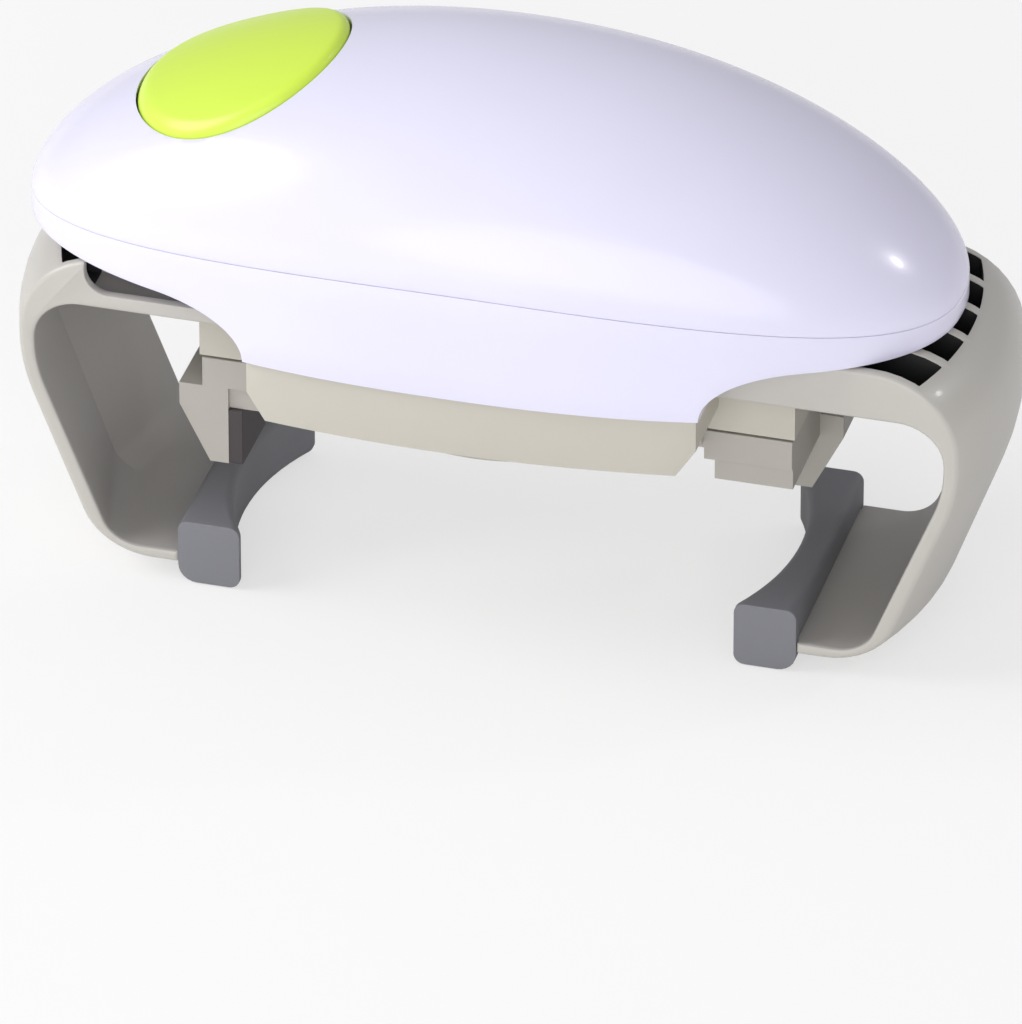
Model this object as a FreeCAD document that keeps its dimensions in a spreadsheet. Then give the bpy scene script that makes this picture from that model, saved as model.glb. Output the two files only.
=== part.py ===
"""Battery jar opener: a domed head, two arms that grip the jar and two jaws that turn the lid.

Frame: millimetres, +Z up, X along the head, origin on the jar axis at the feet of the arm pads.
"""
import FreeCAD, Part
import math
import os
import re
import Sketcher
from FreeCAD import Placement, Rotation, Vector
from types import SimpleNamespace

doc = FreeCAD.newDocument("jar_opener")

# ---------------------------------------------------------------- driving dimensions
DIMENSIONS = {
    # head: upper cover and lower shell
    "head_length": 196.0, "head_width": 88.0, "head_shift": -5.0, "dome_height": 32.5,
    "seam_level": 88.0, "seam_drop": 9.0, "shell_wall": 2.2, "seam_gap": 0.2,
    "rim_level": 63.5, "notch_start": 47.6, "notch_level": 74.5, "notch_radius": 7.0,
    "notch_floor": 2.0,
    # start button and its switch
    "button_x": -58.8, "button_half_x": 21.5, "button_half_y": 24.5, "button_gap": 0.4,
    "button_rise": 1.4, "button_wall": 2.2, "button_skirt": 93.5, "button_lip": 1.4,
    "stem_radius": 3.0, "collar_radius": 5.6, "collar_level": 100.0, "spring_radius": 4.7,
    "spring_wire": 0.9, "switch_side": 12.0, "switch_height": 6.0, "plunger_radius": 1.7,
    "plunger_rise": 3.6, "plunger_deep": 0.6, "board_thick": 1.6, "board_length": 32.0,
    "board_width": 24.0, "board_lift": 2.0, "button_travel": 2.5,
    # base frame
    "base_inset": 1.0, "base_length": 94.0, "skirt_bottom": 50.0, "skirt_wall": 2.2,
    "skirt_slant": 4.0, "slant_level": 56.0, "plate_top": 62.4, "plate_thick": 2.8,
    "tongue_start": 39.2, "tongue_end": 63.0, "tongue_width": 40.0, "tongue_low": 50.4,
    "guide_gap": 0.3, "guide_wall": 2.2, "guide_top": 70.4, "post_x": 38.0, "post_inset": 10.2,
    "post_radius": 3.0, "pilot_radius": 1.15, "end_hole_deep": 4.0,
    # arms
    "arm_depth": 56.0, "arm_out": 104.0, "curve_middle": 23.0, "arm_top": 74.0, "arm_bend": 47.0,
    "foot_slant": 15.5, "arm_foot": 4.3, "foot_wall": 2.6, "arm_wall": 3.0, "tray_low": 62.8,
    "tray_floor": 2.2, "tray_inner": 36.0, "tray_wall": 2.2, "low_wall": 1.2, "low_margin": 19.0,
    "low_radius": 5.0, "slot_pitch": 10.8, "slot_margin": 9.0, "slot_inner": 62.0,
    "rib_thick": 2.3, "shoulder_radius": 18.0, "bend_radius": 42.0, "inner_bend_radius": 30.0,
    "foot_radius": 14.0, "inner_foot_radius": 6.0, "window_radius": 9.0,
    # arm pads
    "pad_height": 14.5, "pad_back": 65.8, "pad_face": 59.4, "pad_curve": 56.0, "pad_edge": 3.5,
    "pad_end": 13.2,
    "flange_start": 61.7, "flange_top": 10.5, "flange_inset": 2.0,
    # arm racks and pinion
    "arm_module": 1.0, "arm_teeth": 20.0, "arm_rack_low": 66.2, "arm_rack_high": 69.8,
    "arm_rack_back": 16.0, "arm_rack_tail": 4.0, "arm_boss": 8.0, "run_gap": 0.08,
    # turntable
    "table_radius": 38.0, "table_low": 46.5, "table_top": 58.6, "washer_radius": 12.0,
    "washer_thick": 0.9, "channel_half": 20.3, "channel_top": 50.2, "upper_half": 14.3,
    "upper_top": 55.4, "hub_radius": 6.5, "hub_top": 83.0, "spindle_radius": 3.0,
    # lid jaws
    "jaw_start": 44.0, "jaw_end": 62.5, "jaw_half": 20.0, "jaw_top": 49.8, "jaw_step": 43.0,
    "step_start": 46.0, "step_half": 19.0, "jaw_low": 38.0, "jaw_nose": 67.5, "claw_low": 25.0,
    "claw_inner": 3.0, "claw_face": 57.0, "claw_tip": 61.0, "jaw_pad": 3.0, "rail_start": 23.0,
    "rail_low": 45.6, "rail_inner": 2.0, "groove_half": 22.3, "groove_low": 47.0,
    "groove_top": 48.8, "riser_end": 36.0, "jaw_module": 1.0, "jaw_teeth": 14.0,
    "jaw_rack_low": 50.8, "jaw_rack_high": 54.8, "jaw_rack_back": 13.0, "jaw_rack_tail": 3.5,
    # drive train
    "frame_low": 74.4, "frame_thick": 2.0, "frame_half_x": 42.0, "frame_inset": 7.0,
    "pillar_radius": 2.4, "pillar_side_x": 39.0, "pillar_front_inset": 20.0,
    "pillar_back_inset": 35.0, "pillar_low_x": 1.0, "pillar_low_inset": 13.0,
    "plate_margin": 3.5,
    "gear_low": 78.0, "gear_tier": 3.6, "tier_gap": 0.3, "output_teeth": 36.0,
    "output_module": 1.0, "first_teeth": 36.0, "first_module": 0.65, "second_teeth": 30.0,
    "second_module": 0.6, "small_teeth": 12.0, "first_angle": -40.0, "second_angle": 25.0,
    "motor_angle": 150.0, "axle_radius": 1.5, "motor_plate": 1.6, "motor_radius": 11.0,
    "motor_height": 18.0, "shaft_radius": 1.0,
    # batteries
    "cell_radius": 7.25, "cell_length": 49.2, "cell_nub": 1.0, "nub_radius": 2.7,
    "cell_low_inset": 12.0, "cell_low_z": 87.0, "cell_high_inset": 23.5, "cell_high_z": 97.5,
    "cell_gap": 0.25, "holder_wall": 1.6, "contact_thick": 0.5, "contact_side": 10.0,
    "contact_reach": 1.45, "door_width": 58.0, "door_low": 89.4, "door_high": 106.0,
    "door_gap": 0.35,
    # screws
    "screw_radius": 1.1, "screw_head": 2.6, "head_high": 2.0, "screw_length": 10.0,
    "tip_screw_x": 85.0, "tip_screw_y": 12.0, "cover_screw_x": 60.0, "cover_screw_y": 24.0,
    "boss_radius": 4.0, "boss_top": 82.0, "cover_post_radius": 3.2, "cover_post_top": 110.0,
}

sheet = doc.addObject("Spreadsheet::Sheet", "Sizes")
for row, (alias, value) in enumerate(DIMENSIONS.items(), start=1):
    sheet.set(f"A{row}", alias)
    sheet.set(f"B{row}", str(value))
    sheet.setAlias(f"B{row}", alias)
doc.recompute()
size = SimpleNamespace(**{alias: float(sheet.get(alias)) for alias in DIMENSIONS})

PARTS = []

# form of the head and of the gear teeth
HEAD_STATIONS = 5
PLAN_POWER = 2.3
HEIGHT_POWER = 1.7
PRESSURE = math.radians(20)
BACKLASH = 0.16
ADDENDUM = 0.8
DEDENDUM = 1.1


# ---------------------------------------------------------------- helpers
def cells(text):
    """Turn the aliases in a formula into references to the sheet."""
    return re.sub(r"[a-z]\w*", lambda m: "Sizes." + m[0] if m[0] in DIMENSIONS else m[0], text)


def bind(obj, **formulas):
    for prop, formula in formulas.items():
        obj.setExpression(prop.replace("__", "."), cells(formula))


def keep(obj, label):
    """Give the finished sub-part its own label and put it on the list of files."""
    obj.Label = label
    PARTS.append(obj)
    return obj


def box(name, x, y, z, length, width, height):
    """A block from its lowest corner."""
    obj = doc.addObject("Part::Box", name)
    bind(obj, Length=length, Width=width, Height=height,
         Placement__Base__x=x, Placement__Base__y=y, Placement__Base__z=z)
    return obj


def rod(name, x, y, z, radius, height):
    """An upright cylinder from its foot."""
    obj = doc.addObject("Part::Cylinder", name)
    bind(obj, Radius=radius, Height=height,
         Placement__Base__x=x, Placement__Base__y=y, Placement__Base__z=z)
    return obj


def rod_x(name, x, y, z, radius, length):
    """A cylinder along +X from its left end."""
    obj = rod(name, x, y, z, radius, length)
    obj.Placement.Rotation = Rotation(Vector(0, 1, 0), 90)
    return obj


def fuse(name, *shapes):
    obj = doc.addObject("Part::MultiFuse", name)
    obj.Shapes = list(shapes)
    obj.Refine = True
    return obj


def cut(name, base, *tools):
    obj = doc.addObject("Part::Cut", name)
    obj.Base = base
    obj.Tool = tools[0] if len(tools) == 1 else fuse(name + "_tools", *tools)
    obj.Refine = True
    return obj


def common(name, base, tool):
    obj = doc.addObject("Part::Common", name)
    obj.Base = base
    obj.Tool = tool
    return obj


def freeform(name, shape):
    obj = doc.addObject("Part::Feature", name)
    obj.Shape = shape
    return obj


def polygon_sketch(body, name, plane, corners, level="0"):
    """A closed polygon whose corners are each held by two formulas."""
    sketch = body.newObject("Sketcher::SketchObject", name)
    support = [f for f in body.Origin.OriginFeatures if f.Role == plane][0]
    sketch.AttachmentSupport = [(support, "")]
    sketch.MapMode = "FlatFace"
    bind(sketch, AttachmentOffset__Base__z=level)
    doc.recompute()
    count = len(corners)
    probe = [Vector(math.cos(2 * math.pi * i / count), math.sin(2 * math.pi * i / count), 0)
             for i in range(count)]
    for i in range(count):
        sketch.addGeometry(Part.LineSegment(probe[i], probe[(i + 1) % count]), False)
    for i in range(count):
        sketch.addConstraint(Sketcher.Constraint("Coincident", i, 2, (i + 1) % count, 1))
    for i, (across, up) in enumerate(corners):
        for kind, formula in (("DistanceX", across), ("DistanceY", up)):
            index = sketch.addConstraint(Sketcher.Constraint(kind, -1, 1, i, 1, 1.0))
            sketch.setExpression(f"Constraints[{index}]", cells(formula))
    doc.recompute()
    return sketch


def circle_sketch(body, name, plane, radius, level="0", across="0", up="0"):
    sketch = body.newObject("Sketcher::SketchObject", name)
    support = [f for f in body.Origin.OriginFeatures if f.Role == plane][0]
    sketch.AttachmentSupport = [(support, "")]
    sketch.MapMode = "FlatFace"
    bind(sketch, AttachmentOffset__Base__z=level)
    sketch.addGeometry(Part.Circle(Vector(0, 0, 0), Vector(0, 0, 1), 1.0), False)
    for kind, formula in (("DistanceX", across), ("DistanceY", up)):
        index = sketch.addConstraint(Sketcher.Constraint(kind, -1, 1, 0, 3, 0.0))
        sketch.setExpression(f"Constraints[{index}]", cells(formula))
    index = sketch.addConstraint(Sketcher.Constraint("Radius", 0, 1.0))
    sketch.setExpression(f"Constraints[{index}]", cells(radius))
    doc.recompute()
    return sketch


def pad(body, sketch, length, middle=False, back=False):
    feature = body.newObject("PartDesign::Pad", "Pad")
    feature.Profile = sketch
    feature.SideType = "Symmetric" if middle else "One side"
    feature.Reversed = back
    bind(feature, Length=length)
    doc.recompute()
    return feature


def pocket(body, sketch, length, middle=False, back=False):
    """Cut the sketch into the body and make sure that it took something away."""
    before = body.Shape.Volume
    feature = body.newObject("PartDesign::Pocket", "Pocket")
    feature.Profile = sketch
    feature.SideType = "Symmetric" if middle else "One side"
    feature.Reversed = back
    bind(feature, Length=length)
    doc.recompute()
    if body.Shape.Volume > before - 0.01:
        raise RuntimeError(f"{body.Name}: the pocket {sketch.Name} cuts nothing")
    return feature


def round_edges(body, radius, *points, reach=0.6):
    """Fillet the edges that pass within reach of the given points."""
    names = []
    for number, edge in enumerate(body.Shape.Edges, start=1):
        near = [p for p in points if edge.distToShape(Part.Vertex(p))[0] < reach]
        if near:
            names.append(f"Edge{number}")
    if len(names) < len(points):
        raise RuntimeError(f"{body.Name}: {len(names)} edges found for {len(points)} points")
    base = body.Tip
    feature = body.newObject("PartDesign::Fillet", "Fillet")
    feature.Base = (base, names)
    bind(feature, Radius=radius)
    doc.recompute()
    return feature


def profile_body(name, plane, corners, length, level="0"):
    """A polygon in one of the main planes, extruded to both sides of the level."""
    body = doc.addObject("PartDesign::Body", name)
    sketch = polygon_sketch(body, name + "_profile", plane, corners, level)
    pad(body, sketch, length, middle=True)
    return body


def turn_about_axis(degrees):
    return Placement(Vector(0, 0, 0), Rotation(Vector(0, 0, 1), degrees))


# ---------------------------------------------------------------- form of the head
def seam_at(x):
    """Height of the seam at a distance x from the middle of the head: an arc that drops at the ends."""
    half = size.head_length / 2
    radius = (half ** 2 + size.seam_drop ** 2) / (2 * size.seam_drop)
    return size.seam_level - radius + math.sqrt(radius ** 2 - x ** 2)


def head_section(share, inset):
    """Place, half width, seam height and arch height of one cross-section of the head."""
    half_length = size.head_length / 2 - inset
    along, across = -math.cos(share), math.sin(share)
    x = math.copysign(half_length * abs(along) ** (2 / PLAN_POWER), along)
    width = (size.head_width / 2 - inset) * across ** (2 / PLAN_POWER)
    arch = (size.dome_height - inset) * (1 - (x / half_length) ** 2) ** (1 / HEIGHT_POWER)
    return x, width, seam_at(x), arch


def head_form(inset, low, smooth):
    """The whole head as a loft of arched sections; the plain one has straight facets."""
    arch_steps = 6 if smooth else 8
    tip = 0.15
    wires = []
    for i in range(-HEAD_STATIONS, HEAD_STATIONS + 1):
        share = math.pi / 2 * (1 + i / (HEAD_STATIONS + tip))
        x, width, seam, arch = head_section(share, inset)
        x += size.head_shift
        places = [k / arch_steps for k in range(arch_steps + 1)]
        points = [Vector(x, width * math.cos(math.pi * p), seam + arch * math.sin(math.pi * p))
                  for p in places]
        feet = [Vector(x, -width, low), Vector(x, width, low)]
        if smooth:
            crown = Part.BSplineCurve()
            rise = Vector(0, 0, arch * math.pi)
            crown.interpolate(Points=points, Parameters=places, InitialTangent=rise,
                              FinalTangent=-rise, Scale=False)
            edges = [Part.makeLine(feet[1], points[0]), crown.toShape(),
                     Part.makeLine(points[-1], feet[0]), Part.makeLine(feet[0], feet[1])]
            wires.append(Part.Wire(edges))
        else:
            wires.append(Part.makePolygon([feet[1]] + points + [feet[0], feet[1]]))
    return Part.makeLoft(wires, True, not smooth)


def seam_cylinder(name, gap):
    """Everything below the seam: a wide cylinder across the head."""
    obj = doc.addObject("Part::Cylinder", name)
    rise = "((head_length / 2)^2 + seam_drop^2) / (2 * seam_drop)"
    bind(obj, Radius=f"{rise} - {gap}", Height="2 * head_width",
         Placement__Base__x="head_shift", Placement__Base__y="head_width",
         Placement__Base__z=f"seam_level - {rise}")
    obj.Placement.Rotation = Rotation(Vector(1, 0, 0), 90)
    return obj


def bowed_block(name, inset, half, low, high):
    """A block with straight ends and bowed sides that follow the head."""
    places = (-half, size.head_shift, half)
    widths = []
    for x in places:
        share = abs(x - size.head_shift) / (size.head_length / 2)
        widths.append(size.head_width / 2 * (1 - share ** PLAN_POWER) ** (1 / PLAN_POWER) - inset)
    back = [Vector(x, w, low) for x, w in zip(places, widths)]
    front = [Vector(x, -w, low) for x, w in zip(places, widths)]
    edges = [Part.Arc(*back).toShape(), Part.makeLine(back[2], front[2]),
             Part.Arc(*reversed(front)).toShape(), Part.makeLine(front[0], back[0])]
    face = Part.Face(Part.Wire(edges))
    return freeform(name, face.extrude(Vector(0, 0, high - low)))


def oval_rod(name, grown, low, high):
    """An upright prism over the ellipse of the start button, longer across the head."""
    outline = doc.addObject("Part::Ellipse", name + "_outline")
    bind(outline, MajorRadius=f"button_half_y + {grown}", MinorRadius=f"button_half_x + {grown}",
         Placement__Base__x="button_x", Placement__Base__z=low)
    outline.Placement.Rotation = Rotation(Vector(0, 0, 1), 90)
    obj = doc.addObject("Part::Extrusion", name)
    obj.Base = outline
    obj.DirMode = "Custom"
    obj.Dir = Vector(0, 0, 1)
    obj.Solid = True
    bind(obj, LengthFwd=f"{high} - ({low})")
    return obj


def gear(name, teeth, module, x, y, low, high, turn):
    """An upright spur gear with a tooth centred at the angle turn, in radians."""
    pitch = teeth * module / 2
    base = pitch * math.cos(PRESSURE)
    slack = BACKLASH / (2 * pitch)
    half_pitch = math.pi / (2 * teeth) + math.tan(PRESSURE) - PRESSURE - slack
    radii = [pitch - DEDENDUM * module, pitch, pitch + ADDENDUM * module]
    flank = []
    for radius in radii:
        roll = math.acos(min(1.0, base / radius))
        flank.append((radius, half_pitch - math.tan(roll) + roll))
    points = []
    for tooth in range(int(teeth)):
        middle = turn + 2 * math.pi * tooth / teeth
        for radius, half in flank:
            points.append((radius, middle - half))
        for radius, half in reversed(flank):
            points.append((radius, middle + half))
    corners = [Vector(x + r * math.cos(t), y + r * math.sin(t), low) for r, t in points]
    face = Part.Face(Part.makePolygon(corners + corners[:1]))
    return freeform(name, face.extrude(Vector(0, 0, high - low)))


def rack(name, module, start, end, back, reach, low, high, tooth_at_middle):
    """A toothed bar along X whose teeth point to +Y and mesh with a pinion on the Z axis."""
    step = math.pi * module
    root, tip = -reach - DEDENDUM * module, -reach + ADDENDUM * module
    lean = math.tan(PRESSURE) * module
    half_root = step / 4 - BACKLASH / 4 + DEDENDUM * lean
    half_tip = step / 4 - BACKLASH / 4 - ADDENDUM * lean
    shift = 0.0 if tooth_at_middle else step / 2
    points = [Vector(start, root, low)]
    tooth = math.ceil((start + half_root - shift) / step)
    while tooth * step + shift + half_root < end:
        middle = tooth * step + shift
        points += [Vector(middle - half_root, root, low), Vector(middle - half_tip, tip, low),
                   Vector(middle + half_tip, tip, low), Vector(middle + half_root, root, low)]
        tooth += 1
    points += [Vector(end, root, low), Vector(end, -back, low), Vector(start, -back, low)]
    face = Part.Face(Part.makePolygon(points + points[:1]))
    return freeform(name, face.extrude(Vector(0, 0, high - low)))


def meshing_turn(turn, teeth, direction, other_teeth):
    """Angle of a tooth on the second gear that fits a gap of the first one."""
    share = (direction - turn) * teeth / (2 * math.pi)
    return direction + math.pi - (2 * math.pi / other_teeth) * (0.5 - share)


outer_form = freeform("outer_form", head_form(0.0, size.rim_level, True))
inner_form = freeform("inner_form", head_form(size.shell_wall, size.rim_level - 1, False))
raised_form = freeform("raised_form", head_form(-size.button_rise, size.rim_level, True))
under_seam = seam_cylinder("under_seam", "0")
under_gap = seam_cylinder("under_gap", "seam_gap")

# ---------------------------------------------------------------- lower shell
shell_space = profile_body("shell_space", "XZ_Plane", [
    ("-notch_start", "rim_level - 2"), ("notch_start", "rim_level - 2"),
    ("notch_start", "notch_level"), ("head_length", "notch_level"),
    ("head_length", "seam_level + 2"), ("-head_length", "seam_level + 2"),
    ("-head_length", "notch_level"), ("-notch_start", "notch_level")], "2 * head_width")
round_edges(shell_space, "notch_radius", Vector(size.notch_start, 0, size.notch_level),
            Vector(-size.notch_start, 0, size.notch_level))
cavity_space = fuse(
    "cavity_space",
    box("cavity_middle", "-notch_start + shell_wall", "-head_width", "rim_level - 2",
        "2 * (notch_start - shell_wall)", "2 * head_width", "40"),
    box("cavity_top", "-head_length", "-head_width", "notch_level + notch_floor",
        "2 * head_length", "2 * head_width", "30"))
shell_cavity = common("shell_cavity", inner_form, cavity_space)
tray_way = box("tray_way", "-notch_start - 3 * notch_radius", "-arm_depth / 2 - 2 * guide_gap",
               "rim_level - 2", "2 * (notch_start + 3 * notch_radius)",
               "arm_depth + 4 * guide_gap", "notch_level - rim_level + 2")
shell_skin = cut("shell_skin", common("shell_block", common("shell_low", outer_form, under_gap),
                                      shell_space), shell_cavity, tray_way)
COVER_SCREWS = [("head_shift + cover_screw_x", "cover_screw_y"),
                ("head_shift + cover_screw_x", "-cover_screw_y"),
                ("head_shift - tip_screw_x", "tip_screw_y"),
                ("head_shift - tip_screw_x", "-tip_screw_y")]
bosses = [rod(f"boss{i}", x, y, "notch_level + notch_floor / 2", "boss_radius",
              "boss_top - notch_level - notch_floor / 2") for i, (x, y) in enumerate(COVER_SCREWS)]
boss_heads = [rod(f"boss_head{i}", x, y, "notch_level - 1", "screw_head + 0.2",
                  "head_high + 1.2") for i, (x, y) in enumerate(COVER_SCREWS)]
boss_holes = [rod(f"boss_hole{i}", x, y, "notch_level - 1", "screw_radius + 0.2",
                  "boss_top - notch_level + 2") for i, (x, y) in enumerate(COVER_SCREWS)]
board_feet = [rod(f"board_foot{i}", f"button_x {sx} (board_length / 2 - 3)",
                  f"{sy}(board_width / 2 - 3)", "notch_level + notch_floor / 2", "1.8",
                  "board_lift + notch_floor / 2")
              for i, (sx, sy) in enumerate((a, b) for a in "+-" for b in ("", "-"))]
keep(cut("lower_shell_solid", fuse("lower_shell_raw", shell_skin, *bosses, *board_feet),
         *boss_heads, *boss_holes), "lower_shell")

# ---------------------------------------------------------------- upper cover and battery door
door_zone = box("door_zone", "-door_width / 2", "0", "door_low", "door_width", "head_width",
                "door_high - door_low")
door_piece = box("door_piece", "-door_width / 2 + door_gap", "0", "door_low + door_gap",
                 "door_width - 2 * door_gap", "head_width", "door_high - door_low - 2 * door_gap")
button_way = oval_rod("button_way", "button_gap", "button_skirt - 3",
                      "seam_level + dome_height + 5")
cover_skin = cut("cover_skin", outer_form, inner_form, under_seam, button_way, door_zone)
cover_posts = [rod(f"cover_post{i}", x, y, "boss_top", "cover_post_radius",
                   "cover_post_top - boss_top") for i, (x, y) in enumerate(COVER_SCREWS)]
post_clip = common("cover_posts", fuse("cover_posts_raw", *cover_posts), outer_form)
pilots = [rod(f"cover_pilot{i}", x, y, "boss_top - 1", "pilot_radius",
              "screw_length - boss_top + notch_level + 2 * head_high + 2")
          for i, (x, y) in enumerate(COVER_SCREWS)]
keep(cut("upper_cover_solid", fuse("upper_cover_raw", cover_skin, post_clip), *pilots),
     "upper_cover")
door_skin = common("door_skin", cut("door_shell", outer_form, inner_form), door_piece)
keep(door_skin, "battery_door")

# ---------------------------------------------------------------- start button and its switch
board_top = "(notch_level + notch_floor + board_lift + board_thick)"
plunger_top = f"({board_top} + switch_height + plunger_rise)"
button_body = oval_rod("button_body", "0", "button_skirt", "seam_level + dome_height + 6")
button_hollow = oval_rod("button_hollow", "-button_wall", "button_skirt - 1",
                         "seam_level + dome_height + 5")
button_lip = oval_rod("button_rim", "button_lip", "button_skirt", "button_skirt + button_lip")
roof = freeform("button_roof", head_form(size.button_wall - size.button_rise,
                                         size.rim_level - 1, False))
stem = rod("stem", "button_x", "0", plunger_top + " + 0.1", "stem_radius", "40")
collar = rod("collar", "button_x", "0", "collar_level", "collar_radius", "button_wall")
hollow = common("button_room", button_hollow, roof)
rim_hollow = oval_rod("rim_hollow", "-button_wall", "button_skirt - 2",
                      "button_skirt + 2 * button_lip")
button_shell = cut("button_shell", common("button_block", button_body, raised_form), hollow)
button_rim = cut("button_rim_ring", button_lip, rim_hollow)
button_stem = common("button_stem", fuse("stem_and_collar", stem, collar), raised_form)
keep(fuse("start_button_solid", button_shell, button_rim, button_stem), "start_button")

keep(cut("button_spring_solid",
         rod("spring_coil", "button_x", "0", board_top + " + switch_height", "spring_radius",
             f"collar_level - {board_top} - switch_height"),
         rod("spring_bore", "button_x", "0", board_top, "spring_radius - spring_wire", "40")),
     "button_spring")
keep(cut("switch_solid",
         box("switch_block", "button_x - switch_side / 2", "-switch_side / 2", board_top,
             "switch_side", "switch_side", "switch_height"),
         rod("switch_bore", "button_x", "0", board_top + " + switch_height - 2 * plunger_deep"
             " - button_travel", "plunger_radius + 0.1", "20")), "button_switch")
keep(rod("plunger", "button_x", "0", f"{plunger_top} - plunger_rise - plunger_deep",
         "plunger_radius", "plunger_rise + plunger_deep"), "switch_plunger")
keep(box("circuit_board_solid", "button_x - board_length / 2", "-board_width / 2",
         board_top + " - board_thick", "board_length", "board_width", "board_thick"),
     "circuit_board")

# ---------------------------------------------------------------- base frame
BASE_HALF = size.base_length / 2
CORNERS = [(sx + "post_x", sy + "(head_width / 2 - post_inset)")
           for sx in ("", "-") for sy in ("", "-")]
skirt_block = bowed_block("skirt_block", size.base_inset, BASE_HALF, size.skirt_bottom,
                          size.rim_level)
skirt_room = bowed_block("skirt_room", size.base_inset + size.skirt_wall,
                         BASE_HALF - size.skirt_wall, size.skirt_bottom - 1,
                         size.plate_top - size.plate_thick)
skirt_top = bowed_block("skirt_top", size.base_inset + size.skirt_wall,
                        BASE_HALF - size.skirt_wall, size.plate_top, size.rim_level + 1)
slant = profile_body("slant", "XZ_Plane", [
    ("-base_length / 2 + skirt_slant", "skirt_bottom"),
    ("base_length / 2 - skirt_slant", "skirt_bottom"), ("base_length / 2", "slant_level"),
    ("base_length / 2", "rim_level"), ("-base_length / 2", "rim_level"),
    ("-base_length / 2", "slant_level")], "2 * head_width")
END_STARTS = ("tongue_start", "-tongue_end")
TONGUE_LONG = "tongue_end - tongue_start"
end_ways = [box(f"end_way{i}", x, "-arm_depth / 2 - guide_gap", "plate_top", TONGUE_LONG,
                "arm_depth + 2 * guide_gap", "rim_level - plate_top + 1")
            for i, x in enumerate(END_STARTS)]
skirt = cut("skirt", common("skirt_slanted", skirt_block, slant), skirt_room, skirt_top, *end_ways)
tongues = [box(f"tongue{i}", x, "-tongue_width / 2", "tongue_low", TONGUE_LONG,
               "tongue_width", "plate_top - tongue_low") for i, x in enumerate(END_STARTS)]
jaw_ways = [box(f"jaw_way{i}", x, "-tongue_width / 2 - guide_gap", "skirt_bottom - 1",
                TONGUE_LONG, "tongue_width + 2 * guide_gap", "tongue_low - skirt_bottom + 1")
            for i, x in enumerate(END_STARTS)]
guides = [box(f"guide{i}", "-tongue_start", y, "plate_top - plate_thick / 2",
              "2 * tongue_start", "guide_wall", "guide_top - plate_top + plate_thick / 2")
          for i, y in enumerate(("arm_depth / 2 + guide_gap",
                                 "-arm_depth / 2 - guide_gap - guide_wall"))]
posts = [rod(f"post{i}", x, y, "plate_top - plate_thick / 2", "post_radius",
             "frame_low - plate_top + plate_thick / 2") for i, (x, y) in enumerate(CORNERS)]
post_pilots = [rod(f"post_pilot{i}", x, y, "frame_low - screw_length", "pilot_radius",
                   "screw_length + 1") for i, (x, y) in enumerate(CORNERS)]
hub_bore = rod("hub_bore", "0", "0", "skirt_bottom", "hub_radius + run_gap",
               "plate_top - skirt_bottom + 1")
end_holes = [rod_x(f"end_hole{i}", x, "0", "(tongue_low + plate_top) / 2", "screw_head",
                   "end_hole_deep + 1")
             for i, x in enumerate(("tongue_end - end_hole_deep", "-tongue_end - 1"))]
keep(cut("base_frame_solid", fuse("base_raw", skirt, *tongues, *guides, *posts), hub_bore,
         *post_pilots, *end_holes, *jaw_ways), "base_frame")

# ---------------------------------------------------------------- arms, pads and racks
FOOT_X = "(arm_out - foot_slant)"
INNER_FOOT_X = f"({FOOT_X} - 0.75 * arm_wall)"
STRAP = [
    ("tray_inner", "tray_low"), ("tray_inner", "arm_top"), ("arm_out", "arm_top"),
    ("arm_out", "arm_bend"), (FOOT_X, "arm_foot"), ("flange_start", "arm_foot"),
    ("flange_start", "arm_foot + foot_wall"), (INNER_FOOT_X, "arm_foot + foot_wall"),
    ("arm_out - arm_wall", "arm_bend + 0.2 * arm_wall"), ("arm_out - arm_wall", "tray_low")]
ENVELOPE = [
    ("flange_start", "0"), ("arm_out + 1", "0"), ("arm_out + 1", "arm_top + 1"),
    ("tray_inner", "arm_top + 1"), ("tray_inner", "tray_low - 1"),
    ("flange_start", "tray_low - 1")]


def bowed_strap(name):
    """The side view of an arm turned about an upright line, so that its outer wall is bowed."""
    body = doc.addObject("PartDesign::Body", name)
    bind(body, Placement__Base__x="curve_middle")
    sketch = polygon_sketch(body, name + "_profile", "XZ_Plane",
                            [(f"{x} - curve_middle", z) for x, z in STRAP])
    feature = body.newObject("PartDesign::Revolution", "Revolution")
    feature.Profile = sketch
    feature.ReferenceAxis = (sketch, ["V_Axis"])
    feature.Midplane = True
    feature.Angle = 180
    doc.recompute()
    inner_x = size.arm_out - size.arm_wall
    foot_x = size.arm_out - size.foot_slant
    for radius, x, z in (
            ("shoulder_radius", size.arm_out, size.arm_top),
            ("bend_radius", size.arm_out, size.arm_bend),
            ("foot_radius", foot_x, size.arm_foot),
            ("window_radius", inner_x, size.tray_low),
            ("inner_bend_radius", inner_x, size.arm_bend + 0.2 * size.arm_wall),
            ("inner_foot_radius", foot_x - 0.75 * size.arm_wall, size.arm_foot + size.foot_wall)):
        round_edges(body, radius, Vector(x, 0, z))
    return body


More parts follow.
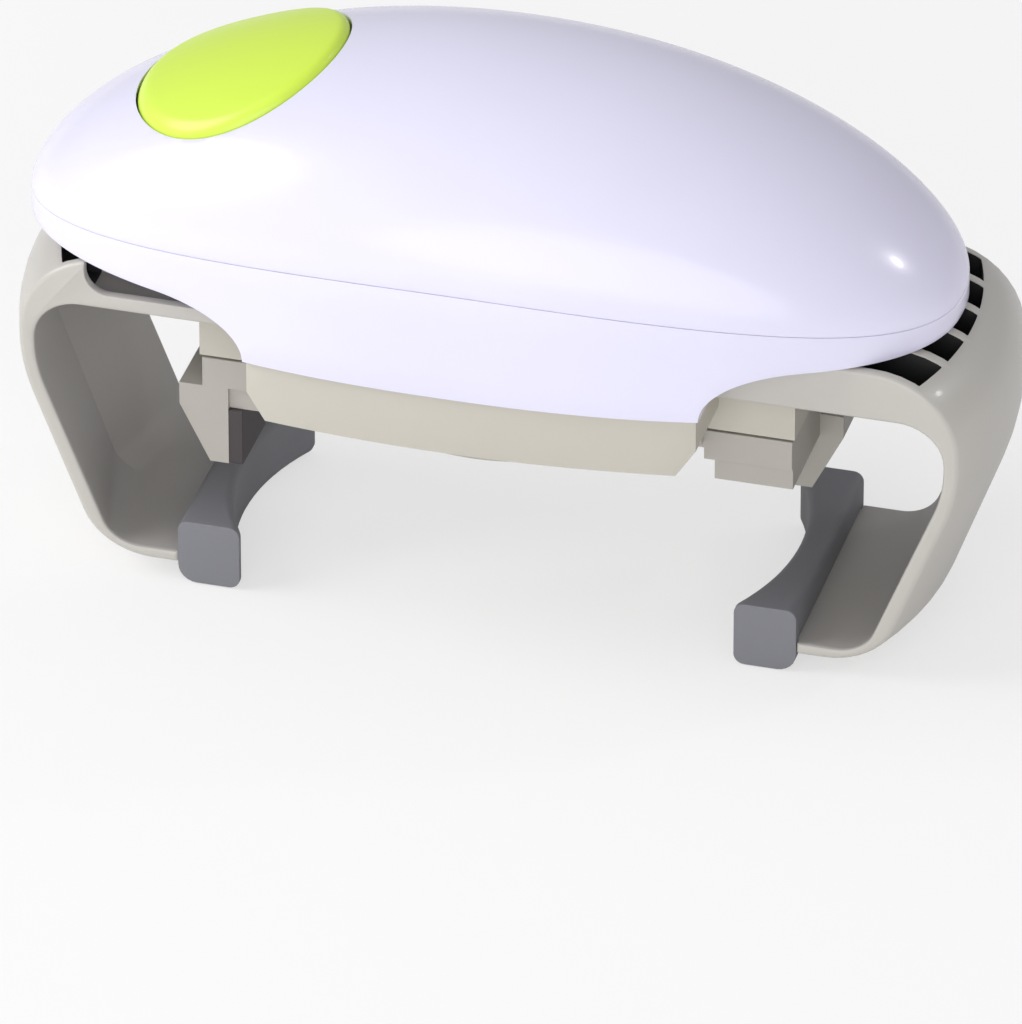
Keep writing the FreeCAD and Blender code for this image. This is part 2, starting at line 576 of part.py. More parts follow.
def arm(label, turned):
    """One arm: the bowed strap, the slotted tray, the flange for the pad and the rack."""
    wall = common(f"{label}_wall", bowed_strap(f"{label}_strap"),
                  profile_body(f"{label}_envelope", "XZ_Plane", ENVELOPE, "arm_depth"))
    floor = "(tray_low + tray_floor)"
    headroom = f"(arm_top - {floor} + 1)"
    channel = box(f"{label}_channel", "tray_inner - 1", "-arm_depth / 2 + tray_wall", floor,
                  "slot_inner - tray_inner + 1", "arm_depth - 2 * tray_wall", headroom)
    low_side = profile_body(f"{label}_low_side", "XZ_Plane", [
        ("tray_inner - 1", f"{floor} + low_wall"), ("arm_out - low_margin", f"{floor} + low_wall"),
        ("arm_out - low_margin", "arm_top + low_radius"),
        ("tray_inner - 1", "arm_top + low_radius")], "2 * tray_wall", level="-arm_depth / 2")
    round_edges(low_side, "low_radius", Vector(size.arm_out - size.low_margin, size.arm_depth / 2,
                                               size.tray_low + size.tray_floor + size.low_wall))
    slots = [box(f"{label}_slot{i}", "slot_inner - 1", f"{i - 2.5} * slot_pitch + rib_thick / 2",
                 floor, "arm_out", "slot_pitch - rib_thick", headroom) for i in range(5)]
    slot_limit = rod(f"{label}_slot_limit", "curve_middle", "0", "tray_low",
                     "arm_out - curve_middle - slot_margin", "arm_top - tray_low + tray_floor + 1")
    slotted = common(f"{label}_slotted", fuse(f"{label}_slots", *slots), slot_limit)
    trims = [box(f"{label}_trim{i}", "flange_start - 1", y, "0", "pad_back - flange_start + 1",
                 "2 * flange_inset", "pad_height")
             for i, y in enumerate(("arm_depth / 2 - flange_inset",
                                    "-arm_depth / 2 - flange_inset"))]
    flange = box(f"{label}_flange", "flange_start", "-arm_depth / 2 + flange_inset", "arm_foot",
                 "foot_wall", "arm_depth - 2 * flange_inset", "flange_top - arm_foot")
    bar = rack(f"{label}_rack", size.arm_module, -size.arm_rack_tail, size.slot_inner,
               size.arm_rack_back, size.arm_module * size.arm_teeth / 2, size.arm_rack_low,
               size.arm_rack_high, False)
    root = box(f"{label}_rack_root", "tray_inner", "-arm_rack_back", floor,
               "slot_inner - tray_inner + 1", "arm_rack_back - arm_teeth * arm_module / 2"
               " - 1.25 * arm_module", f"arm_rack_high - {floor}")
    solid = fuse(f"{label}_solid", cut(f"{label}_strip", wall, channel, low_side, slotted, *trims),
                 flange, bar, root)
    solid.Placement = turn_about_axis(turned)
    return keep(solid, label)


def arm_pad(label, turned):
    """A rubber pad with a hollow face for the jar and a slot for the flange of the arm."""
    body = doc.addObject("PartDesign::Body", f"{label}_body")
    outline = polygon_sketch(body, f"{label}_outline", "XY_Plane", [
        ("pad_back - pad_end", "-arm_depth / 2"), ("pad_back", "-arm_depth / 2"),
        ("pad_back", "arm_depth / 2"), ("pad_back - pad_end", "arm_depth / 2")])
    pad(body, outline, "pad_height")
    curve = circle_sketch(body, f"{label}_curve", "XY_Plane", "pad_curve",
                          across="pad_face - pad_curve")
    pocket(body, curve, "pad_height", back=True)
    flange_half = "arm_depth - 2 * flange_inset"
    way = polygon_sketch(body, f"{label}_way", "XZ_Plane", [
        ("flange_start", "arm_foot"), ("pad_back + 1", "arm_foot"),
        ("pad_back + 1", "arm_foot + foot_wall"),
        ("flange_start + foot_wall", "arm_foot + foot_wall"),
        ("flange_start + foot_wall", "flange_top"), ("flange_start", "flange_top")])
    pocket(body, way, flange_half, middle=True)
    round_edges(body, "pad_edge", Vector(size.pad_back, 0, 0))
    body.Placement = turn_about_axis(turned)
    return keep(body, label)


for side, turned in (("right", 0), ("left", 180)):
    arm(f"arm_{side}", turned)
    arm_pad(f"arm_pad_{side}", turned)

arm_gear = gear("arm_gear", size.arm_teeth, size.arm_module, 0, 0, size.arm_rack_low,
                size.arm_rack_high, 0.0)
keep(cut("arm_pinion_solid",
         fuse("arm_pinion_raw", arm_gear,
              rod("arm_pinion_boss", "0", "0", "plate_top + 0.1", "arm_boss",
                  "arm_rack_low - plate_top + 0.4")),
         rod("arm_pinion_bore", "0", "0", "plate_top", "hub_radius + run_gap", "20")),
     "arm_pinion")

# ---------------------------------------------------------------- turntable and lid jaws
table = rod("table_disc", "0", "0", "table_low", "table_radius", "table_top - table_low")
hub = rod("table_hub", "0", "0", "table_top - 2", "hub_radius", "hub_top - table_top + 2")
channel = box("table_channel", "-table_radius - 1", "-channel_half", "table_low - 1",
              "2 * table_radius + 2", "2 * channel_half", "channel_top - table_low + 1")
grooves = box("table_grooves", "-table_radius - 1", "-groove_half", "groove_low",
              "2 * table_radius + 2", "2 * groove_half", "groove_top - groove_low")
rack_room = box("table_rack_room", "-table_radius - 1", "-upper_half", "channel_top - 1",
                "2 * table_radius + 2", "2 * upper_half", "upper_top - channel_top + 1")
spindle_bore = rod("spindle_bore", "0", "0", "table_low", "spindle_radius + run_gap", "60")
keep(cut("turntable_solid", fuse("table_raw", table, hub), channel, grooves, rack_room,
         spindle_bore), "turntable")
washer_low = "plate_top - plate_thick - washer_thick - 0.05"
keep(cut("washer_solid", rod("washer_disc", "0", "0", washer_low, "washer_radius", "washer_thick"),
         rod("washer_bore", "0", "0", "table_top", "hub_radius + 0.5", "10")), "thrust_washer")


def jaw(label, turned):
    """One lid jaw: block, claw, rail in the turntable and the rack above it."""
    block = box(f"{label}_block", "jaw_start", "-jaw_half", "jaw_step", "jaw_end - jaw_start",
                "2 * jaw_half", "jaw_top - jaw_step")
    step = box(f"{label}_step", "step_start", "-step_half", "jaw_low", "jaw_end - step_start",
               "2 * step_half", "jaw_step - jaw_low")
    claw = profile_body(f"{label}_claw", "XZ_Plane", [
        ("claw_face", "claw_low"), ("claw_tip", "claw_low"), ("jaw_nose", "jaw_low"),
        ("jaw_nose", "jaw_step"), ("claw_face", "jaw_step")], "jaw_half - claw_inner",
        level="-(jaw_half + claw_inner) / 2")
    rail = box(f"{label}_rail", "rail_start", "-jaw_half", "rail_low",
               "jaw_start - rail_start + 1", "jaw_half - rail_inner", "jaw_top - rail_low")
    flange = box(f"{label}_flange", "rail_start", "-groove_half + 0.3", "groove_low + 0.2",
                 "jaw_start - rail_start", "5", "groove_top - groove_low - 0.4")
    reach = size.jaw_module * size.jaw_teeth / 2
    riser_width = f"jaw_rack_back - {reach + DEDENDUM * size.jaw_module}"
    riser = box(f"{label}_riser", "rail_start", "-jaw_rack_back", "jaw_top - 1",
                "riser_end - rail_start", riser_width, "jaw_rack_low - jaw_top + 2")
    bar = rack(f"{label}_rack", size.jaw_module, -size.jaw_rack_tail, size.riser_end,
               size.jaw_rack_back, reach, size.jaw_rack_low, size.jaw_rack_high, True)
    solid = fuse(f"{label}_solid", block, step, claw, rail, flange, riser, bar)
    solid.Placement = turn_about_axis(turned)
    keep(solid, label)
    face = "claw_face - jaw_pad"
    facing = profile_body(f"{label}_facing", "XZ_Plane", [
        (face, "claw_low"), ("claw_face", "claw_low"), ("claw_face", "jaw_low"),
        (face, "jaw_low")], "jaw_half - claw_inner", level="-(jaw_half + claw_inner) / 2")
    facing.Placement = turn_about_axis(turned)
    keep(facing, label.replace("jaw", "jaw_pad"))


for side, turned in (("right", 0), ("left", 180)):
    jaw(f"jaw_{side}", turned)

spindle_top = "(hub_top + 1.4)"
keep(fuse("jaw_pinion_solid",
          gear("jaw_gear", size.jaw_teeth, size.jaw_module, 0, 0, size.jaw_rack_low,
               size.jaw_rack_high, 0.0),
          rod("spindle", "0", "0", "jaw_rack_high - 1", "spindle_radius",
              f"{spindle_top} - jaw_rack_high + 1")), "jaw_pinion")
keep(cut("clip_solid", rod("clip_disc", "0", "0", "hub_top + 0.1", "1.8 * spindle_radius", "1.2"),
         rod("clip_bore", "0", "0", "hub_top", "spindle_radius", "10")), "spindle_clip")

# ---------------------------------------------------------------- gear train
SMALL = size.small_teeth
tiers = [size.gear_low + i * (size.gear_tier + size.tier_gap) for i in range(3)]


def step_from(point, distance, degrees):
    angle = math.radians(degrees)
    return (point[0] + distance * math.cos(angle), point[1] + distance * math.sin(angle))


first_at = step_from((0, 0), (size.output_teeth + SMALL) * size.output_module / 2,
                     size.first_angle)
second_at = step_from(first_at, (size.first_teeth + SMALL) * size.first_module / 2,
                      size.second_angle)
motor_at = step_from(second_at, (size.second_teeth + SMALL) * size.second_module / 2,
                     size.motor_angle)
first_turn = meshing_turn(0.0, size.output_teeth, math.radians(size.first_angle), SMALL)
second_turn = meshing_turn(0.0, size.first_teeth, math.radians(size.second_angle), SMALL)
motor_turn = meshing_turn(0.0, size.second_teeth, math.radians(size.motor_angle), SMALL)


def level_rod(name, point, low, radius, high):
    """A plain cylinder between two levels at a place of the gear train."""
    return freeform(name, Part.makeCylinder(radius, high - low, Vector(*point, low)))


def compound_gear(label, point, small, large, levels, turn):
    """A small and a large gear on one sleeve that turns on an axle."""
    lower = gear(f"{label}_small", SMALL, small, *point, tiers[levels[0]],
                 tiers[levels[0]] + size.gear_tier + size.tier_gap, turn)
    teeth, module = large
    upper = gear(f"{label}_large", teeth, module, *point, tiers[levels[1]],
                 tiers[levels[1]] + size.gear_tier, 0.0)
    sleeve = level_rod(f"{label}_sleeve", point, size.frame_low + size.frame_thick + 0.2,
                       size.axle_radius + 1.1, tiers[levels[1]])
    bore = level_rod(f"{label}_bore", point, size.frame_low, size.axle_radius + size.run_gap,
                     tiers[2] + 10)
    return keep(cut(f"{label}_solid", fuse(f"{label}_raw", lower, upper, sleeve), bore), label)


output = gear("output_teeth_ring", size.output_teeth, size.output_module, 0, 0, tiers[0],
              tiers[0] + size.gear_tier, 0.0)
keep(cut("output_gear_solid", output,
         rod("output_bore", "0", "0", "gear_low - 1", "hub_radius", "20")), "output_gear")
compound_gear("first_gear", first_at, size.output_module,
              (size.first_teeth, size.first_module), (0, 1), first_turn)
compound_gear("second_gear", second_at, size.first_module,
              (size.second_teeth, size.second_module), (1, 2), second_turn)

plate_low = tiers[2] + size.gear_tier + 0.4
frame_top = size.frame_low + size.frame_thick
axles = [level_rod(f"axle{i}", point, size.frame_low, size.axle_radius, plate_low)
         for i, point in enumerate((first_at, second_at))]
keep(fuse("axles_solid", *axles), "gear_axles")
half_width = size.head_width / 2
pillar_back = half_width - size.pillar_back_inset
pillar_front = size.pillar_front_inset - half_width
pillar_low = size.pillar_low_inset - half_width
PILLARS = [(size.pillar_side_x, pillar_front), (size.pillar_side_x, pillar_back),
           (size.pillar_low_x, pillar_low)]
pillars = [level_rod(f"pillar{i}", point, size.frame_low, size.pillar_radius, plate_low)
           for i, point in enumerate(PILLARS)]
frame_holes = [level_rod(f"frame_hole{i}", point, size.frame_low - 1, size.axle_radius,
                         frame_top + 1) for i, point in enumerate((first_at, second_at))]
frame_plate = box("frame_plate", "-frame_half_x", "-head_width / 2 + frame_inset", "frame_low",
                  "2 * frame_half_x", "head_width - 2 * frame_inset", "frame_thick")
screw_ways = [rod(f"screw_way{i}", x, y, "frame_low - 1", "screw_radius + 0.2",
                  "frame_thick + 2") for i, (x, y) in enumerate(CORNERS)]
plate_pilots = [level_rod(f"plate_pilot{i}", point, plate_low - 7, size.pilot_radius,
                          plate_low + 1) for i, point in enumerate(PILLARS)]
keep(cut("gear_frame_solid", fuse("gear_frame_raw", frame_plate, *pillars),
         rod("frame_hub_way", "0", "0", "frame_low - 1", "hub_radius + 0.7", "10"),
         *frame_holes, *screw_ways, *plate_pilots), "gear_frame")

margin = size.plate_margin
plate_corners = [
    (size.pillar_low_x - margin, pillar_low - margin),
    (size.pillar_side_x + margin, pillar_front - margin),
    (size.pillar_side_x + margin, pillar_back + margin),
    (motor_at[0] - size.motor_radius, pillar_back + margin),
    (size.pillar_low_x - margin, pillar_low + margin)]
plate_outline = [Vector(x, y, plate_low) for x, y in plate_corners + plate_corners[:1]]
plate_face = Part.Face(Part.makePolygon(plate_outline))
plate_block = freeform("plate_block", plate_face.extrude(Vector(0, 0, size.motor_plate)))
plate_high = plate_low + size.motor_plate + 1
plate_holes = [level_rod(f"plate_hole{i}", point, plate_low - 1, size.screw_radius + 0.2,
                         plate_high) for i, point in enumerate(PILLARS)]
shaft_way = level_rod("shaft_way", motor_at, plate_low - 1, 2.4 * size.shaft_radius, plate_high)
keep(cut("motor_plate_solid", plate_block, *plate_holes, shaft_way), "motor_plate")
motor_low = plate_low + size.motor_plate
shaft_bore = level_rod("motor_shaft_bore", motor_at, motor_low - 1,
                       size.shaft_radius + size.run_gap, motor_low + size.motor_height / 2)
keep(cut("motor_solid",
         fuse("motor_raw",
              level_rod("motor_can", motor_at, motor_low, size.motor_radius,
                        motor_low + size.motor_height),
              level_rod("motor_cap", motor_at, motor_low, size.motor_radius / 3,
                        motor_low + size.motor_height + 1.6)), shaft_bore), "motor_body")
keep(fuse("motor_pinion_solid",
          gear("motor_gear", SMALL, size.second_module, *motor_at, tiers[2],
               tiers[2] + size.gear_tier, motor_turn),
          level_rod("motor_shaft", motor_at, tiers[2] + 1, size.shaft_radius,
                    motor_low + size.motor_height / 2 - 0.5)), "motor_pinion")

# ---------------------------------------------------------------- batteries and holder
LOW_Y = "(head_width / 2 - cell_low_inset)"
HIGH_Y = "(head_width / 2 - cell_high_inset)"
CELLS = {"lower": (LOW_Y, "cell_low_z"), "upper": (HIGH_Y, "cell_high_z")}
troughs, rooms, contacts = [], [], []
holder_half = "(cell_length / 2 + contact_reach + contact_thick + 0.05)"
for name, (y, z) in CELLS.items():
    keep(fuse(f"battery_{name}_solid",
              rod_x(f"cell_{name}", "-cell_length / 2", y, z, "cell_radius",
                    "cell_length - cell_nub"),
              rod_x(f"nub_{name}", "cell_length / 2 - cell_nub - 1", y, z, "nub_radius",
                    "cell_nub + 1")), f"battery_{name}")
    troughs.append(rod_x(f"trough_{name}", f"-{holder_half} - holder_wall", y, z,
                         "cell_radius + cell_gap + holder_wall",
                         f"2 * {holder_half} + 2 * holder_wall"))
    rooms.append(rod_x(f"cell_room_{name}", f"-{holder_half}", y, z, "cell_radius + cell_gap",
                       f"2 * {holder_half}"))
    rooms.append(box(f"open_side_{name}", f"-{holder_half}", y, z, f"2 * {holder_half}",
                     "4 * cell_radius", "4 * cell_radius"))
    for end, plate_x, pin_x in (
            ("minus", f"-{holder_half}", f"-{holder_half} + contact_thick"),
            ("plus", f"{holder_half} - contact_thick", "cell_length / 2")):
        contacts.append(fuse(
            f"contact_{name}_{end}",
            box(f"contact_plate_{name}_{end}", plate_x, f"{y} - contact_side / 2",
                f"{z} - contact_side / 2", "contact_thick", "contact_side", "contact_side"),
            rod_x(f"contact_pin_{name}_{end}", pin_x, y, z, "nub_radius",
                  "contact_reach + 0.05")))
holder_legs = [box(f"holder_leg{i}", x, f"{HIGH_Y} - cell_radius / 2", "frame_low + frame_thick",
                   "holder_wall", f"{LOW_Y} - {HIGH_Y} + cell_radius",
                   "cell_high_z - frame_low - frame_thick - 1")
               for i, x in enumerate((f"-{holder_half} - holder_wall", holder_half))]
holder_room = freeform("holder_room", head_form(size.shell_wall + 0.4, size.rim_level - 1, False))
keep(common("holder_solid", cut("holder_raw", fuse("holder_block", *troughs, *holder_legs),
                                *rooms), holder_room), "battery_holder")
group = doc.addObject("Part::Compound", "contacts_group")
group.Links = contacts
keep(group, "battery_contacts")


# ---------------------------------------------------------------- screws
def screw(name, x, y, shank_low, shank, head_low):
    """A plain screw: shank and head, both upright."""
    return fuse(name, rod(name + "_shank", x, y, shank_low, "screw_radius", shank),
                rod(name + "_head", x, y, head_low, "screw_head", "head_high"))


housing = [screw(f"housing_screw{i}", x, y, "notch_level + 0.2", "screw_length + head_high",
                 "notch_level + 0.2") for i, (x, y) in enumerate(COVER_SCREWS)]
group = doc.addObject("Part::Compound", "housing_screws_group")
group.Links = housing
keep(group, "housing_screws")
frame = [screw(f"frame_screw{i}", x, y, "frame_low + frame_thick - screw_length + 1",
               "screw_length", "frame_low + frame_thick") for i, (x, y) in enumerate(CORNERS)]
group = doc.addObject("Part::Compound", "frame_screws_group")
group.Links = frame
keep(group, "frame_screws")

# ---------------------------------------------------------------- files
doc.recompute()
os.makedirs("parts", exist_ok=True)
for obj in doc.Objects:
    if "Invalid" in obj.State or "Error" in obj.State:
        raise RuntimeError(f"{obj.Name}: {obj.State}")
for obj in PARTS:
    if obj.Shape.isNull() or not obj.Shape.isValid():
        raise RuntimeError(f"{obj.Label}: the shape is not valid")
    obj.Shape.exportStep(f"parts/{obj.Label}.step")
    print(obj.Label, len(obj.Shape.Solids), round(obj.Shape.Volume))
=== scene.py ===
"""Battery jar opener, dressed for the eye: covers, arms, pads, jaws and what lies inside the head."""
import bpy
import bmesh
import math
from mathutils import Matrix, Vector


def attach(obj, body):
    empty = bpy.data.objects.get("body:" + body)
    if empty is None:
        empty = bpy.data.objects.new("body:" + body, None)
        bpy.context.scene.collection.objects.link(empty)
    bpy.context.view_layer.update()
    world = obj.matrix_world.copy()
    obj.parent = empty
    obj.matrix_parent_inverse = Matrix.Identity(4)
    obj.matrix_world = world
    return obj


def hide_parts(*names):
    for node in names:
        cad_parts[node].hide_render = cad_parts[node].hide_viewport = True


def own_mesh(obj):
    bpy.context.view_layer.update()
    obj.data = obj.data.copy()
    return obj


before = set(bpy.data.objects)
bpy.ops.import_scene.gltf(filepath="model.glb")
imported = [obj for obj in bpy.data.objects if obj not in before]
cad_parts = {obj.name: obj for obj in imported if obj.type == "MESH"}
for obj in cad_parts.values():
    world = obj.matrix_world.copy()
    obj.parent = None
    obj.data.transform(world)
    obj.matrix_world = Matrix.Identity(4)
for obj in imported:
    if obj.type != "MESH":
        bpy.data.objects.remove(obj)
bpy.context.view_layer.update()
MM = 0.001

# ---------------------------------------------------------------- camera, floor and light
# The opener stands on a pale seamless floor and is looked at from the front, a little from the right
# and above. Two broad soft lamps and an even sky light it; a small one glints in the gloss.
target = Vector((-0.0023, 0.0, 0.0103))
azimuth, elevation, distance = math.radians(15.5), math.radians(32.1), 3.0
camera = bpy.data.objects.new("camera", bpy.data.cameras.new("camera"))
camera.location = target + distance * Vector((math.sin(azimuth) * math.cos(elevation),
                                              -math.cos(azimuth) * math.cos(elevation),
                                              math.sin(elevation)))
camera.rotation_euler = (target - camera.location).to_track_quat("-Z", "Y").to_euler()
camera.data.sensor_width = 36.0
camera.data.lens = 510.5
camera.data.clip_end = 20.0
bpy.context.collection.objects.link(camera)
bpy.context.scene.camera = camera
bpy.context.scene.view_settings.view_transform = "Standard"


def linear(code):
    """An sRGB hex colour as linear values."""
    shares = [int(code[i:i + 2], 16) / 255 for i in (0, 2, 4)]
    return (*[c / 12.92 if c <= 0.04045 else ((c + 0.055) / 1.055) ** 2.4 for c in shares], 1.0)


def put(tree, kind, inputs=None, **settings):
    """Adds one node, sets it and fills its inputs with values, a link or several links."""
    made = tree.nodes.new(kind)
    for name, value in settings.items():
        setattr(made, name, value)
    for name, value in (inputs or {}).items():
        for source in value if isinstance(value, list) else [value]:
            if isinstance(source, bpy.types.NodeSocket):
                tree.links.new(source, made.inputs[name])
            else:
                made.inputs[name].default_value = source
    return made


def new_material(name):
    material = bpy.data.materials.new(name)
    material.use_nodes = True
    material.node_tree.nodes.clear()
    return material, material.node_tree


floor_mesh = bpy.data.meshes.new("floor")
floor_mesh.from_pydata([(-6, -6, -0.0003), (6, -6, -0.0003), (6, 6, -0.0003), (-6, 6, -0.0003)], [],
                       [(0, 1, 2, 3)])
floor = bpy.data.objects.new("floor", floor_mesh)
bpy.context.collection.objects.link(floor)
paper, tree = new_material("seamless_paper")
shader = put(tree, "ShaderNodeBsdfPrincipled", {"Base Color": linear("F7F6F5"), "Roughness": 0.9})
glow = put(tree, "ShaderNodeEmission", {"Color": linear("FFFFFF"), "Strength": 1.0})
seen = put(tree, "ShaderNodeLightPath")
share = put(tree, "ShaderNodeMath", {0: seen.outputs["Is Camera Ray"], 1: 0.6}, operation="MULTIPLY")
bright = put(tree, "ShaderNodeMixShader", {0: share.outputs[0], 1: shader.outputs[0],
                                           2: glow.outputs[0]})
put(tree, "ShaderNodeOutputMaterial", {"Surface": bright.outputs[0]})
floor_mesh.materials.append(paper)

world = bpy.data.worlds.new("soft_room")
world.use_nodes = True
world.node_tree.nodes.clear()
sky = put(world.node_tree, "ShaderNodeBackground", {"Color": linear("F6F6FA"), "Strength": 0.5})
put(world.node_tree, "ShaderNodeOutputWorld", {"Surface": sky.outputs[0]})
bpy.context.scene.world = world
for name, place, width, watts in (("key_lamp", (-1.25, -0.35, 0.95), 1.1, 15.0),
                                  ("front_lamp", (0.25, -1.5, 0.5), 1.7, 13.5),
                                  ("glint_lamp", (1.02, 0.58, 0.775), 0.11, 1.1)):
    lamp = bpy.data.lights.new(name, "AREA")
    lamp.shape = "DISK"
    lamp.size = width
    lamp.energy = watts
    stand = bpy.data.objects.new(name, lamp)
    stand.location = place
    stand.rotation_euler = (Vector((0, 0, 0.06)) - stand.location).to_track_quat("-Z", "Y").to_euler()
    bpy.context.collection.objects.link(stand)

# ---------------------------------------------------------------- base frame
# The chassis is one thick gray ABS moulding: a skirt round the turntable, a plate above it and a
# tongue at each end that the lid jaws run under.


def moulded(name, colour, roughness, grain, depth, coat=0.0):
    """Injection-moulded plastic: even colour, fine texture of the mould, soft sheen."""
    material, tree = new_material(name)
    place = put(tree, "ShaderNodeTexCoord")
    cloud = put(tree, "ShaderNodeTexNoise", {"Vector": place.outputs["Object"], "Scale": 28.0,
                                             "Detail": 3.0})
    base = linear(colour)
    tint = put(tree, "ShaderNodeMix", {"Factor": cloud.outputs["Fac"], 6: base,
                                       7: (base[0] * 0.95, base[1] * 0.95, base[2] * 0.95, 1.0)},
               data_type="RGBA")
    rough = put(tree, "ShaderNodeMapRange", {"Value": cloud.outputs["Fac"],
                                             "To Min": roughness * 0.9,
                                             "To Max": roughness * 1.12})
    skin = put(tree, "ShaderNodeTexNoise", {"Vector": place.outputs["Object"],
                                            "Scale": 1 / (grain * MM), "Detail": 2.0})
    bump = put(tree, "ShaderNodeBump", {"Height": skin.outputs["Fac"], "Strength": depth,
                                        "Distance": 0.00005})
    shader = put(tree, "ShaderNodeBsdfPrincipled",
                 {"Base Color": tint.outputs[2], "Roughness": rough.outputs[0], "IOR": 1.5,
                  "Normal": bump.outputs[0], "Coat Weight": coat, "Coat Roughness": 0.08})
    put(tree, "ShaderNodeOutputMaterial", {"Surface": shader.outputs[0]})
    return material


weld_reach = 2e-6


def dress(node, material, width, segments=2):
    """Softens a solid's edges by width, in millimetres, and gives it its material."""
    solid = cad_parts[node]
    weld = solid.modifiers.new("weld", "WELD")
    weld.merge_threshold = weld_reach
    bevel = solid.modifiers.new("bevel", "BEVEL")
    bevel.width = width * MM
    bevel.segments = segments
    bevel.limit_method = "ANGLE"
    bevel.angle_limit = math.radians(35)
    solid.data.materials.clear()
    solid.data.materials.append(material)


chassis_abs = moulded("satin_gray_chassis_abs", "C3BFB3", 0.42, 0.45, 0.16)
dress("base_frame", chassis_abs, 0.6, 3)

# ---------------------------------------------------------------- turntable
# A round carrier, moulded in a darker gray ABS, turns under the chassis. Its channel and grooves
# guide the jaws, and its hub goes up through the chassis to the output gear.
dress("turntable", moulded("satin_gray_carrier_abs", "AFACA3", 0.45, 0.45, 0.16), 0.35)

# ---------------------------------------------------------------- thrust washer
# A thin ring of white acetal, punched from sheet, lies loose between the chassis and the turntable
# and keeps them from rubbing.
white_acetal = moulded("white_moulded_acetal", "E8E6DC", 0.33, 0.5, 0.06)
dress("thrust_washer", white_acetal, 0.15)

# ---------------------------------------------------------------- lid jaws
# Two sliders of gray ABS, moulded with a claw each, run in the channel of the turntable. A strip of
# dark rubber is bonded to the inner face of each claw.
jaw_abs = moulded("satin_gray_jaw_abs", "B3AFA7", 0.42, 0.45, 0.16)
jaw_rubber = moulded("dark_brown_jaw_rubber", "453F41", 0.66, 0.35, 0.4)
for side in ("left", "right"):
    dress(f"jaw_{side}", jaw_abs, 0.5, 3)
    dress(f"jaw_pad_{side}", jaw_rubber, 0.5, 3)

# ---------------------------------------------------------------- jaw pinion and spindle clip
# The pinion is hobbed on a steel spindle that runs up through the hub of the turntable. A zinc-plated
# clip, pressed on the end of the spindle, holds both up.


def plated(name, colour, roughness, brushed):
    """Bright metal with a fine drawn grain: clouded tint, streaks that break up the shine."""
    material, tree = new_material(name)
    place = put(tree, "ShaderNodeTexCoord")
    stretch = put(tree, "ShaderNodeMapping", {"Vector": place.outputs["Object"], "Scale": brushed})
    streak = put(tree, "ShaderNodeTexNoise", {"Vector": stretch.outputs[0], "Scale": 2500.0,
                                              "Detail": 2.0})
    base = linear(colour)
    tint = put(tree, "ShaderNodeMix", {"Factor": streak.outputs["Fac"], 6: base,
                                       7: (base[0] * 0.85, base[1] * 0.85, base[2] * 0.85, 1.0)},
               data_type="RGBA")
    rough = put(tree, "ShaderNodeMapRange", {"Value": streak.outputs["Fac"],
                                             "To Min": roughness * 0.8,
                                             "To Max": roughness * 1.3})
    shader = put(tree, "ShaderNodeBsdfPrincipled",
                 {"Base Color": tint.outputs[2], "Metallic": 1.0, "Roughness": rough.outputs[0]})
    put(tree, "ShaderNodeOutputMaterial", {"Surface": shader.outputs[0]})
    return material


hobbed_steel = plated("hobbed_spindle_steel", "B4B7BC", 0.3, (1.0, 1.0, 0.06))
zinc_plate = plated("zinc_plated_pressed_steel", "C6C8CC", 0.26, (0.08, 1.0, 1.0))
dress("jaw_pinion", hobbed_steel, 0.1)
dress("spindle_clip", zinc_plate, 0.12)

# ---------------------------------------------------------------- arm pinion
# A white acetal gear, moulded with its collar, turns loose on the hub of the turntable, between the
# racks of the two arms.
dress("arm_pinion", white_acetal, 0.12)

# ---------------------------------------------------------------- arms
# Each arm is one wide strap of ABS, moulded in the shape of a C, silver-gray lacquer outside. The
# darker gray inside the C is painted shade. So are the mid gray and the black, towards the outer ends,
# in the tray and slots under the head. A toothed rack runs inwards.
arm_half, arm_out, arm_curve, slot_floor, arm_top = 28.0, 104.0, 81.0, 65.0, 74.0
arm_root, arm_inside, strap_low, foot_end, foot_low, foot_high = 36, 101, 62.8, 65.8, 4.3, 6.9
strap = [(arm_root, strap_low, 0, 0), (arm_root, arm_top, 0, 0), (arm_out, arm_top, 18, 0),
         (arm_out, 47, 42, 0), (88.5, foot_low, 14, 0), (foot_end, foot_low, 0, 0),
         (foot_end, foot_high, 0, 0), (86.25, foot_high, 7.5, 1), (arm_inside, 47.6, 30, 1),
         (arm_inside, strap_low, 9, 1)]
bow_start, cutter_top = 70, 80
slot_start, slot_end, slot_pitch, slot_root, slot_margin = -25.85, -17.35, 10.8, 61, 9
tray_start, tray_end, tray_half, low_side_end, low_side_floor = 35, 62, 25.8, 85, 66.2
flange_start, flange_end, flange_half, lip_end, lip_top = 61.7, 68, 26, 64.3, 10.5
rack_start, rack_end, rack_back, rack_reach, rack_low, rack_high = -4, 62, 16, 10, 66.2, 69.8


